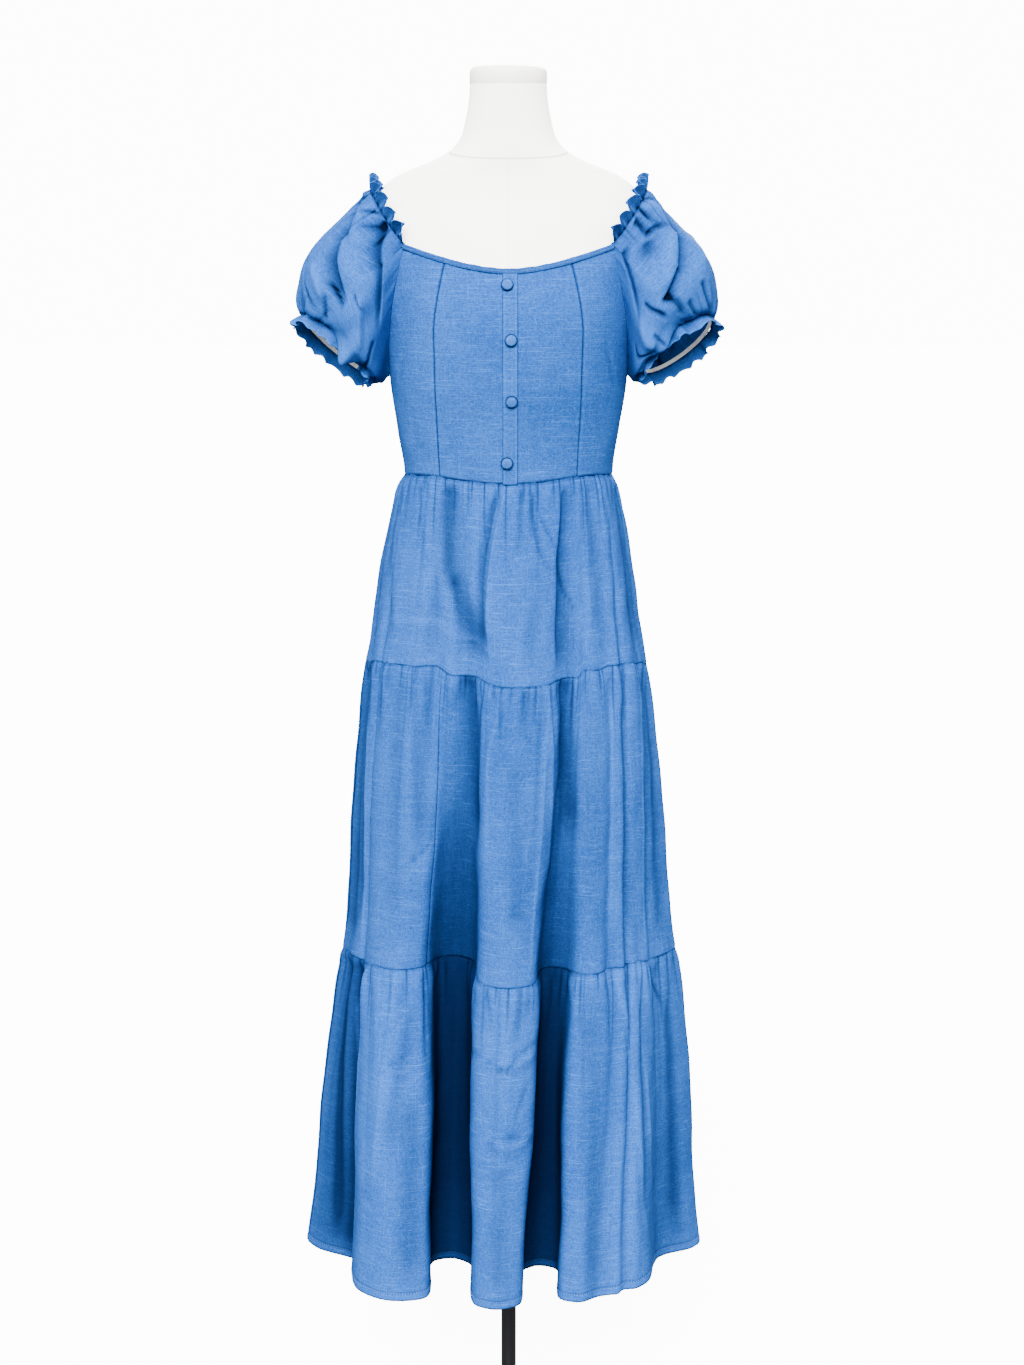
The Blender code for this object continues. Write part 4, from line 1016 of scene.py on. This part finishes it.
TIER2_FOLDS = (
    (262, 10, 292, -190, 17, 20, -6.6, -5, 0.20, 0),
    (452, 10, 484, -190, 14, 17, -7, -5.5, 0.20, 0),
    (60, -20, 75, -345, 2.4, 2.6, 1.2, 1.2, 0, -0.01),
    (627, -20, 631, -345, 2.4, 2.6, 1.2, 1.2, 0, 0),
    (415, -10, 409, -345, 2.4, 2.6, 1.2, 1.2, 0, 0),
    (24, 10, 24, -360, 26, 34, -6.6, -4.8, 0, 0),
    (668, -20, 676, -345, 14, 16, -3, -3, 0, 0),
    (134, -18, 157, -309, 12, 16, -1.6, -2.2, 0, 0),
    (161, -27, 187, -201, 8, 12, -1.8, -2.6, 0.30, 0),
    (171, -229, 205, -194, 2.4, 2, -1.4, -0.8, 0, 0.12),
    (99, -13, 104, -90, 4, 6, -1.8, -0.8, 0, 0),
    (182, -16, 191, -109, 4, 6, -1.5, -0.8, 0, 0),
    (353, -6, 334, -84, 3.5, 5, 2.4, 1.6, -0.40, 0),
    (334, -84, 332, -215, 5, 8, 1.6, 1.2, -0.40, 0),
    (380, -4, 383, -63, 3, 4.5, -2.2, -0.9, 0, 0),
    (383, -58, 406, -68, 2, 1.8, -1.4, -0.7, 0, 0.10),
    (371, -96, 385, -290, 13, 16, -1.8, -2.2, 0, 0),
    (419, -16, 440, -243, 4, 5, 2.6, 2, -0.50, 0),
    (521, -34, 521, -304, 13, 15, -1.6, -2, 0, 0),
    (560, -41, 560, -324, 5, 6, 2.4, 2, 0.55, 0),
    (581, -41, 599, -324, 9, 10, -3.2, -3, 0, 0),
    (528, -164, 491, -150, 2, 1.8, -0.8, -0.5, 0, 0.10),
    (357, -268, 419, -262, 2, 2, -0.8, -0.5, 0, 0.10),
    (50, -12, 60, -300, 8, 12, -2.2, -2.8, 0, 0),
    (650, -14, 640, -310, 8, 12, -2.4, -3, 0, 0),
    (720, -10, 730, -260, 6, 10, -2.4, -2.6, 0, 0.03),
    (776, -8, 770, -300, 6, 11, 2.6, 2.2, 0.50, 0),
    (846, -10, 852, -120, 4, 6, -2.4, -1, 0, 0.05),
    (880, -120, 912, -92, 2.2, 2, -1.2, -0.6, 0, 0.12),
    (905, -60, 915, -320, 12, 16, -2, -3, 0, 0),
    (984, -10, 976, -200, 5, 8, 2.4, 1.8, -0.50, 0),
    (1046, -8, 1052, -90, 3.5, 5, -2.4, -1, 0, 0),
    (1090, -50, 1100, -310, 13, 17, -2, -2.8, 0, 0),
    (1128, -240, 1172, -206, 2.4, 2, -1.3, -0.7, 0, 0.12),
    (1190, -10, 1184, -290, 5, 8, 2.4, 2.2, 0.50, 0),
    (1262, -10, 1270, -320, 8, 12, -2.6, -3, 0, 0),
    (1350, -12, 1340, -260, 6, 10, -2.2, -2.4, 0, 0.03),
)
TIER3_FOLDS = (
    (50, 10, 50, -400, 56, 56, -5.6, -5, 0, 0),
    (90, 10, 92, -400, 16, 16, -4, -4.6, 0, 0),
    (1010, 10, 1006, -400, 40, 44, -2.2, -2.8, 0, 0),
    (141, -20, 128, -380, 2.4, 2.6, 1.2, 1.2, 0, 0),
    (905, -30, 957, -380, 2.4, 2.6, 1.2, 1, 0, 0),
    (508, -84, 592, -80, 4.4, 4.4, 2.2, 1.6, 0, 0.06),
    (508, -96, 592, -92, 5, 5, -1, -0.8, 0, 0.06),
    (520, -176, 598, -172, 4.4, 4.4, 2.2, 1.6, 0, 0.14),
    (520, -188, 598, -184, 5, 5, -1, -0.8, 0, 0.14),
    (224, -7, 195, -245, 6, 10, 3, 2.4, 0.50, 0),
    (280, -9, 275, -116, 4, 7, -3.2, -1.2, 0, 0),
    (249, -48, 215, -207, 9, 14, -2, -2.6, 0.30, 0),
    (204, -78, 232, -57, 2.2, 2, -1.1, -0.6, 0, 0.10),
    (215, -110, 249, -90, 2.2, 2, -1.1, -0.6, 0, 0.10),
    (252, -153, 246, -360, 14, 20, -2.4, -3.4, 0, 0),
    (470, -90, 546, -97, 3, 3, -2, -2, 0.30, -0.12),
    (546, -97, 603, -73, 3, 3, -2, -2, 0.30, -0.16),
    (527, -184, 589, -184, 2.6, 2.4, -1.8, -1.3, 0.20, -0.14),
    (578, -116, 561, -160, 3, 3.5, -1.8, -1, 0, 0.05),
    (515, -2, 527, -53, 3.5, 6, -2.6, -1, 0, 0),
    (561, 0, 561, -57, 3.5, 6, -2.4, -1, 0, 0),
    (546, -215, 544, -366, 14, 18, -1.8, -2.6, 0, 0),
    (849, -9, 889, -138, 6, 7, 3.2, 3, 0.55, 0),
    (889, -138, 923, -330, 7, 9, 3, 2.6, 0.55, 0),
    (796, -29, 824, -374, 15, 20, -2, -3.2, 0, 0),
    (909, -44, 920, -321, 7, 10, -3.4, -3.4, 0, 0),
    (965, -9, 999, -62, 3, 3.4, -3.6, -1.6, 0, 0),
    (1011, -57, 1008, -354, 9, 14, -3, -3.4, 0, 0),
    (42, -9, 65, -354, 9, 12, -3.4, -3.6, 0, 0),
    (82, -53, 102, -176, 5, 5, 2, 1.6, 0, 0),
    (1120, -12, 1130, -350, 9, 14, -3, -3.6, 0, 0),
    (1196, -8, 1186, -240, 6, 10, 3, 2.4, 0.50, 0),
    (1262, -10, 1270, -110, 4, 7, -3, -1.2, 0, 0.04),
    (1330, -60, 1322, -360, 15, 20, -2.2, -3.4, 0, 0),
    (1396, -112, 1452, -104, 3, 3, -1.8, -1.4, 0.30, -0.14),
    (1436, -8, 1446, -90, 3.5, 6, -2.6, -1, 0, 0),
    (1500, -10, 1512, -300, 7, 11, 3, 2.8, -0.50, 0),
    (1572, -50, 1580, -350, 14, 20, -2.4, -3.4, 0, 0),
    (1640, -8, 1652, -120, 4, 7, -3, -1.2, 0, 0.05),
    (1664, -200, 1726, -188, 2.6, 2.4, -1.6, -1.2, 0.20, -0.14),
    (1742, -10, 1730, -260, 6, 10, 3, 2.4, 0.50, 0),
    (1812, -40, 1822, -360, 15, 20, -2.4, -3.4, 0, 0),
    (1884, -10, 1896, -140, 4, 7, -2.8, -1.2, 0, 0.04),
    (1960, -12, 1950, -350, 9, 14, -3, -3.6, 0, 0),
    (2060, -10, 2070, -340, 9, 13, -3, -3.4, 0, 0),
    (2118, -12, 2124, -200, 5, 8, 2.2, 1.8, 0, 0),
)
# Each tier's seams, drop, width of its cut, pleats, the pleats below it, how full it hangs, its folds
# and its grid's columns and rows
TIERS = (
    ("tier1", waist, tier2_line, TIER1_DROP, 1.04, waist_pleats, tier2_pleats[0], 0.003,
     TIER1_FOLDS, 520, 54),
    ("tier2", tier2_line, tier3_line, 0.358, 1.43, tier2_pleats, tier3_pleats[0], 0.004,
     TIER2_FOLDS, 600, 72),
    ("tier3", tier3_line, hem_line, 0.383, 2.15, tier3_pleats, tier3_pleats[0], 0.005,
     TIER3_FOLDS, 740, 74),
)
for tier, upper, lower, drop, cut_width, pleats, pleats_below, belly, folds, columns, rows in TIERS:
    marks = line_marks(upper, lower)
    right_side = fold_place(marks, 10)
    join = mix(fold_place(marks, 2), fold_place(marks, 3), 0.52)
    spans = [("front", 0.0, right_side), ("back", right_side, 1.0)]
    if tier == "tier2":
        spans = [("front_left", 0.0, join), ("front_right", join, right_side), ("back", right_side, 1.0)]
    for word, first, last in spans:
        lay = tier_layer(upper, lower, drop, cut_width, pleats, pleats_below, belly, folds, first, last,
                         tier == "tier3")
        piece = laid_grid(f"{tier}_{word}_cloth", round(columns * (last - first)), rows, lay, chambray,
                          wall=TIER_WALL)
        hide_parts(f"{tier}_{word}")
        if tier == "tier3":
            count = round(cut_width * (last - first) / STITCH_LENGTH)
            stitch_rows(f"hem_stitches_{word}", lay, [(row, 0.002, 0.998, count, False) for row in HEM_ROWS])

# Sleeves. Each is a wide puff of chambray, gathered by elastic over the shoulder and at the cuff,
# and set into the armhole with a little fullness. It is blown out between its folds.
SHOULDER_X, SHOULDER_Z = 0.1600, 1.5570
# Each cuff's elastic line, as at the left: x, distance to the front, height, slant in degrees, half
# length, half depth, and how far its front edge shifts sideways and up
CUFFS = {
    "left": (-0.1975, 0.010, 1.3780, 39.0, 0.0535, 0.0430, 0.006, 0.012),
    "right": (-0.1945, 0.012, 1.3785, 38.0, 0.0520, 0.0430, 0.016, 0.012),
}
ELASTIC_SHARE = 0.32
PUFF_WIDTH, PUFF_LENGTH = 0.62, 0.25
PUFF_CENTRE = (-0.150, -0.002, 1.470)
FRILL_WALL = 0.0007


def armhole_point(share, out):
    """Points just outside the armhole at the left, from its front corner to its back one."""
    turn = mix(CORNER_TURN, BACK_CORNER_TURN, share)
    height = bodice_top(turn)
    point = on_form(-turn, height, cloth_off(height) + out)
    corner = near(share, 0.12) + near(share - 1, 0.12)
    point[:, 0] += 1.2 * out + 0.0034 * corner
    point[:, 1] -= 0.0012 * near(share, 0.12)
    return point


def neck_elastic(share):
    """Points of the elastic neck edge at the left, from the back corner over the shoulder."""
    front = armhole_point(np.zeros(1), 0.0009)[0]
    rear = armhole_point(np.ones(1), 0.0009)[0]
    rise = np.sin(np.pi * share)
    x = mix(mix(rear[0], front[0], share), -SHOULDER_X, rise ** 0.9)
    z = mix(mix(rear[2], front[2], share), SHOULDER_Z, rise ** 1.15)
    y = mix(rear[1], front[1], 0.5 - 0.5 * np.cos(np.pi * share))
    return np.stack([x, y, z], axis=-1)


def sleeve_top(place):
    """The sleeve's upper edge: the shoulder, the front, the underarm, then the back."""
    place = place % 1.0
    half = ELASTIC_SHARE / 2
    share = np.where(place <= half, 0.5 + 0.5 * place / half, 0.5 * (place - 1 + half) / half)
    elastic = neck_elastic(np.clip(share, 0.0, 1.0))
    armhole = armhole_point(np.clip((place - half) / (1 - ELASTIC_SHARE), 0.0, 1.0), 0.0009)
    on_elastic = (place <= half) | (place >= 1 - half)
    return np.where(on_elastic[:, None], elastic, armhole)


def cuff_ring(cuff, place, grow, down):
    """Points of the cuff's elastic line, grown outwards and moved the way that the cuff opens."""
    x, depth, z, slant, half_length, half_depth, shift_x, shift_z = cuff
    angle = math.radians(slant)
    long_axis = np.array([-math.cos(angle), 0.0, math.sin(angle)]) * half_length
    deep_axis = np.array([shift_x, -half_depth, shift_z])
    opens = np.cross(long_axis, deep_axis)
    opens /= np.linalg.norm(opens)
    if opens[2] > 0:
        opens = -opens
    turn = 2 * np.pi * place[:, None]
    spoke = long_axis * np.cos(turn) + deep_axis * np.sin(turn)
    return np.array([x, -depth, z]) + spoke + unit(spoke) * grow[:, None] + opens * down[:, None]


# Folds listed for each puff: along from the shoulder to the front, down from the top, as on
# the skirt. The back's are of the same kind.
SLEEVE_FOLDS = {
    "left": (
        (5, -13, 49, -66, 5, 8, -5, -11, -0.45, 0.02),
        (36, -66, 96, -154, 9, 9, -12, -9, -0.45, 0.02),
        (36, -19, 98, -117, 12, 12, 6, 8, 0, 0),
        (72, -5, 96, -70, 5, 7, -6, -9, -0.30, 0.05),
        (93, -66, 171, -66, 7, 8, -9, -8, -0.20, -0.05),
        (114, -108, 160, -137, 12, 8, 6, 6, 0, 0),
        (150, -135, 170, -222, 15, 10, 6, 8, 0, 0),
        (103, -125, 134, -104, 2.6, 2.2, -2.6, -1.2, 0, 0.05),
        (8, -150, 78, -206, 3.5, 3, -4.5, -3.5, -0.30, 0.06),
        (72, -146, 103, -162, 4, 3, -4, -3, -0.30, 0),
        (78, -169, 101, -217, 3, 2.5, -3, -3, 0, 0),
        (44, -142, 83, -184, 8, 6, 3, 3, 0, 0),
        (59, -4, 36, -30, 2.6, 3.5, -3.5, -1.5, 0, 0),
        (70, -4, 57, -40, 4, 5, -6, -3, 0.30, -0.10),
        (23, -4, 5, -30, 2.6, 4, -3.5, -1.5, 0, 0),
        (41, -92, 57, -108, 8, 9, 2, 1, 0, 0),
        (186, -96, 217, -215, 5, 4, -6, -4, 0, 0.05),
        (57, -70, 75, -59, 2.2, 2.2, -1, -0.5, 0, 0.05),
        (-30, -30, -50, -190, 8, 8, -6, -5, 0.30, 0.03),
        (-70, -10, -100, -120, 6, 8, -6, -6, 0.30, 0.02),
        (-110, -110, -160, -150, 8, 8, -6, -5, 0.20, -0.04),
        (-90, -60, -130, -200, 12, 10, 6, 5, 0, 0),
        (-160, -60, -190, -210, 6, 5, -6, -4, 0, 0.04),
        (-60, -200, -80, -235, 3, 2.6, -3.5, -3, 0, 0),
    ),
    "right": (
        (67, -9, 65, -44, 4.5, 4.5, -6, -7, 0, 0.08),
        (65, -44, 40, -60, 4.5, 4.5, -7, -5, 0, 0.08),
        (70, -50, 83, -70, 11, 12, -5, -3, 0, 0),
        (44, -9, 23, -44, 8, 9, 5, 3, 0, 0),
        (15, -40, 62, -129, 5, 7, -4, -10, -0.45, -0.03),
        (62, -122, 98, -150, 6, 7, -10, -8, -0.45, -0.05),
        (50, -70, 88, -120, 12, 13, 5, 7, 0, 0),
        (93, -137, 90, -206, 4, 3.5, -5, -4, 0, 0),
        (124, -104, 116, -173, 3.5, 4, -5, -6, 0, 0.05),
        (54, -177, 46, -231, 3, 2.6, -4, -3.5, 0, 0),
        (-10, -96, 40, -154, 10, 11, 2.5, 3, 0, 0),
        (90, -26, 150, -90, 5, 6, -7, -7, 0.20, 0),
        (195, -100, 170, -200, 4.5, 4.5, -5, -4.5, 0, -0.10),
        (158, -92, 158, -190, 11, 10, 5, 6, 0, 0),
        (54, -4, 46, -50, 2.6, 3.5, -3.5, -1.5, 0, 0),
        (40, -4, 13, -24, 2.6, 3.5, -3.5, -1.5, 0, 0),
        (8, -4, -12, -30, 2.6, 3.5, -3, -1.2, 0, 0),
        (147, -160, 147, -215, 2.6, 2.6, -3, -2, 0, 0),
        (78, -187, 75, -229, 3, 2.6, -3.5, -3, 0, 0),
        (-40, -30, -55, -190, 8, 8, -6, -5, 0.30, 0.03),
        (-75, -10, -95, -130, 6, 8, -6, -7, 0.30, 0.02),
        (-110, -120, -150, -160, 8, 8, -6, -5, 0.20, -0.04),
        (-100, -60, -130, -200, 12, 10, 6, 5, 0, 0),
        (-165, -60, -190, -210, 6, 5, -6, -4, 0, 0.04),
        (-60, -200, -75, -235, 3, 2.6, -3.5, -3, 0, 0),
    ),
}
# Where each puff hangs over its cuff: along from the shoulder, half width, how far
CUFF_LAPS = {
    "left": ((0.168, 0.020, 0.0150), (0.075, 0.016, 0.0050), (-0.110, 0.030, 0.0090)),
    "right": ((0.155, 0.024, 0.0080), (0.055, 0.018, 0.0050), (-0.120, 0.030, 0.0090)),
}


def lay_sleeve(cuff, phase, side, folds, laps):
    """How a puff is laid from the elastic and the armhole down to the cuff."""
    top_pleats = Pleats(44, 0.0046, 0.055, phase)
    cuff_pleats = Pleats(30, 0.0048, 0.040, phase + 2)

    def lay(u, v):
        down = (1 - v) - 0.4 / (2 * np.pi) * np.sin(2 * np.pi * (1 - v))
        top = sleeve_top(u)
        none = np.zeros(len(u))
        end = cuff_ring(cuff, u, none, none)
        opens = (cuff_ring(cuff, u, none, none + 0.01) - end) / 0.01
        outward = unit(mix(top, end, 0.5) - np.array(PUFF_CENTRE))
        turn = 2 * np.pi * u
        front = np.maximum(0.0, np.sin(turn))
        rear = np.maximum(0.0, -np.sin(turn))
        outer = np.maximum(0.0, np.cos(turn))
        under = np.maximum(0.0, -np.cos(turn))
        puff = 0.027 * outer ** 2 + 0.040 * front ** 1.5 + 0.038 * rear ** 1.5 + 0.010 * under ** 2
        swell = np.sin(np.pi * down ** 1.35)
        fold = np.cos(10 * turn + phase) + 0.3 * np.cos(3 * turn + 2 * phase)
        reach = 0.0022 * (1 - 0.85 * under) * np.sin(np.pi * down) ** 0.8
        length = 0.16 + 0.06 * (front + rear)
        fallen = down * length
        raised = (1 - down) * length
        relief = puff * swell + fold * reach
        seated = (1 - near(fallen, 0.007)) * (1 - near(raised, 0.007))
        elastic = np.clip((ELASTIC_SHARE / 2 + 0.02 - np.minimum(u, 1 - u)) / 0.03, 0.35, 1.0)
        relief += top_pleats.relief(u + 0.01 * down, fallen, 0.9) * elastic * (1 - near(fallen, 0.004))
        relief += cuff_pleats.relief(u, raised, 0.9) * (1 - near(raised, 0.003))
        along = (u - np.round(u)) * PUFF_WIDTH
        wander = 0.0030 * np.sin(down * 17 + phase) * np.sin(np.pi * down)
        stray = 0.0030 * np.sin(along * 44 + 1.3 * phase)
        placed, shade = hand_folds(along + wander, stray - down * PUFF_LENGTH, folds)
        relief += placed * seated * (1 - 0.7 * under)
        points = mix(top, end, down[:, None]) + outward * relief[:, None]
        lap = 0.0030 * (1 + 0.5 * np.cos(7 * turn + phase))
        for place, half, drop in laps:
            lap = lap + drop * near(along - place, half)
        points += opens * (lap * near(down - 0.88, 0.085) * (1 - near(raised, 0.004)))[:, None]
        points[:, 0] *= -side
        # Painted shade and highlights from the listed folds, and painted shade in the creases of the gathers
        # and along the elastic at the top and the cuff.
        wear_and_painted_light = 0.85 * shade - 0.70 * top_pleats.crease(u + 0.01 * down, fallen, PUFF_WIDTH) * elastic
        wear_and_painted_light -= 0.75 * cuff_pleats.crease(u, raised, PUFF_WIDTH) + 0.85 * near(fallen, 0.0020)
        wear_and_painted_light -= 0.75 * near(raised, 0.0022)
        return points, np.stack([u * PUFF_WIDTH, -down * PUFF_LENGTH], axis=-1), wear_and_painted_light

    return lay


def lay_cuff_frill(cuff, phase, side):
    """How a cuff's frill is laid: it leaves the elastic full and flutes out to its edge."""

    def lay(u, v):
        down = 1 - v
        turn = 2 * np.pi * u
        lobe = 10 * turn + phase + 0.9 * np.sin(2 * turn + phase) + 0.6 * np.sin(5 * turn)
        full = 0.72 + 0.28 * np.sin(3 * turn + 2 * phase)
        grow = 0.0012 + 0.0024 * down + 0.0052 * full * np.sin(lobe) * down ** 0.6
        grow = grow + 0.0008 * np.sin(2 * lobe + 1) * down
        length = 0.0172 - 0.0030 * np.sin(lobe) ** 2 + 0.0010 * np.sin(5 * turn + phase)
        sway = u - 0.0044 * np.sin(2 * lobe) * down * full
        points = cuff_ring(cuff, sway, grow, 0.0003 + length * down)
        points[:, 0] *= -side
        # Paler along the frill's outer edge, with painted shade at the elastic and between its lobes.
        wear_and_painted_light = 0.5 * near(down - 1, 0.10) - 0.75 * near(down, 0.12)
        wear_and_painted_light -= 0.35 * (0.5 - 0.5 * np.sin(lobe)) * (1 - down)
        return points, np.stack([u * PUFF_WIDTH, -down * 0.0165 + 0.5], axis=-1), wear_and_painted_light

    return lay


def lay_elastic(cuff, side):
    """How the ribbed elastic is laid round the inside of a cuff."""

    def lay(u, v):
        rib = 0.00012 * np.cos(2 * np.pi * 3 * v)
        points = cuff_ring(cuff, u, -0.0017 + rib, 0.0042 * (0.35 - v))
        points[:, 0] *= -side
        return points, np.stack([u * 0.30, v * 0.005], axis=-1), np.zeros(len(u))

    return lay


def form_facing(points):
    """The way that the form faces near each of some points."""
    step = 0.002
    faces = np.zeros_like(points)
    for axis in range(3):
        for sign in (1, -1):
            moved = points.copy()
            moved[:, axis] += sign * step
            half_width = read_column(FORM_SECTIONS, 1, moved[:, 2])
            depth = np.where(moved[:, 1] < 0, read_column(FORM_SECTIONS, 2, moved[:, 2]),
                             read_column(FORM_SECTIONS, 3, moved[:, 2]))
            faces[:, axis] += sign * ((moved[:, 0] / half_width) ** 2 + (moved[:, 1] / depth) ** 2)
    return unit(faces)


def lay_neck_ruffle(phase, side):
    """How the header above a sleeve's elastic is laid over the shoulder, in close soft waves."""

    def lay(u, v):
        share = 0.985 - 0.97 * u
        base = neck_elastic(share)
        along = unit(neck_elastic(share + 0.01) - neck_elastic(share - 0.01))
        normal = form_facing(base)
        up = unit(np.cross(normal, along) + normal * 0.75)
        sideways = unit(np.cross(along, up))
        loop = 2 * np.pi * 12 * u + phase + 0.8 * np.sin(2 * np.pi * 2.5 * u)
        full = 0.80 + 0.20 * np.sin(2 * np.pi * 3.5 * u + phase)
        scallop = 0.0178 - 0.0040 * np.sin(loop) ** 2 + 0.0010 * np.sin(2 * np.pi * 4.3 * u)
        rise = -0.0032 + (scallop + 0.0035) * np.sin(0.5 * np.pi * v)
        swing = 0.0082 * full * np.sin(loop) * np.clip((v - 0.12) / 0.88, 0, 1) ** 0.65
        sway = -0.0030 * full * np.sin(2 * loop) * v
        points = base + up * rise[:, None] + sideways * swing[:, None] + along * sway[:, None]
        points[:, 0] *= -side
        # Paler along the header's top edge, with painted shade at its base, between its waves and a little
        # all over.
        wear_and_painted_light = 0.60 * near(v - 1, 0.10) - 0.75 * near(v, 0.16) - 0.10
        wear_and_painted_light -= 0.45 * (0.5 + 0.5 * np.cos(2 * loop))
        return points, np.stack([u * 0.34, v * 0.0175 + 0.7], axis=-1), wear_and_painted_light

    return lay


elastic_tape, tape_tree, tape_shader = new_material("elastic_tape", {
    "Base Color": (0.86, 0.86, 0.84, 1.0), "Roughness": 0.8})
tape_cut = add_node(tape_tree, "ShaderNodeUVMap", {}, uv_map="cut")
tape_ribs = add_node(tape_tree, "ShaderNodeTexWave", {"Vector": tape_cut.outputs["UV"], "Scale": 320.0})
fill_inputs(tape_tree, tape_shader, {"Normal": bumped(tape_tree, tape_ribs.outputs["Fac"], 0.3, 0.0003)})

for word, side, phase in (("left", -1, 0.6), ("right", 1, 2.4)):
    cuff = CUFFS[word]
    turned = side > 0
    puff_lay = lay_sleeve(cuff, phase, side, SLEEVE_FOLDS[word], CUFF_LAPS[word])
    puff = laid_grid(f"sleeve_{word}_cloth", 220, 78, puff_lay, chambray, wall=TIER_WALL,
                     joined=True, flipped=turned)
    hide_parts(f"sleeve_{word}")
    frill = laid_grid(f"cuff_frill_{word}", 360, 12, lay_cuff_frill(cuff, phase, side), chambray,
                      wall=FRILL_WALL, joined=True, flipped=turned)
    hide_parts(f"cuff_ruffle_{word}")
    tape = laid_grid(f"cuff_tape_{word}", 160, 6, lay_elastic(cuff, side), elastic_tape, wall=TIER_WALL,
                     joined=True, flipped=turned)
    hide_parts(f"cuff_elastic_{word}")
    header = laid_grid(f"neck_frill_{word}", 360, 12, lay_neck_ruffle(phase, side), chambray,
                       wall=FRILL_WALL, flipped=turned)
    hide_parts(f"neck_ruffle_{word}")
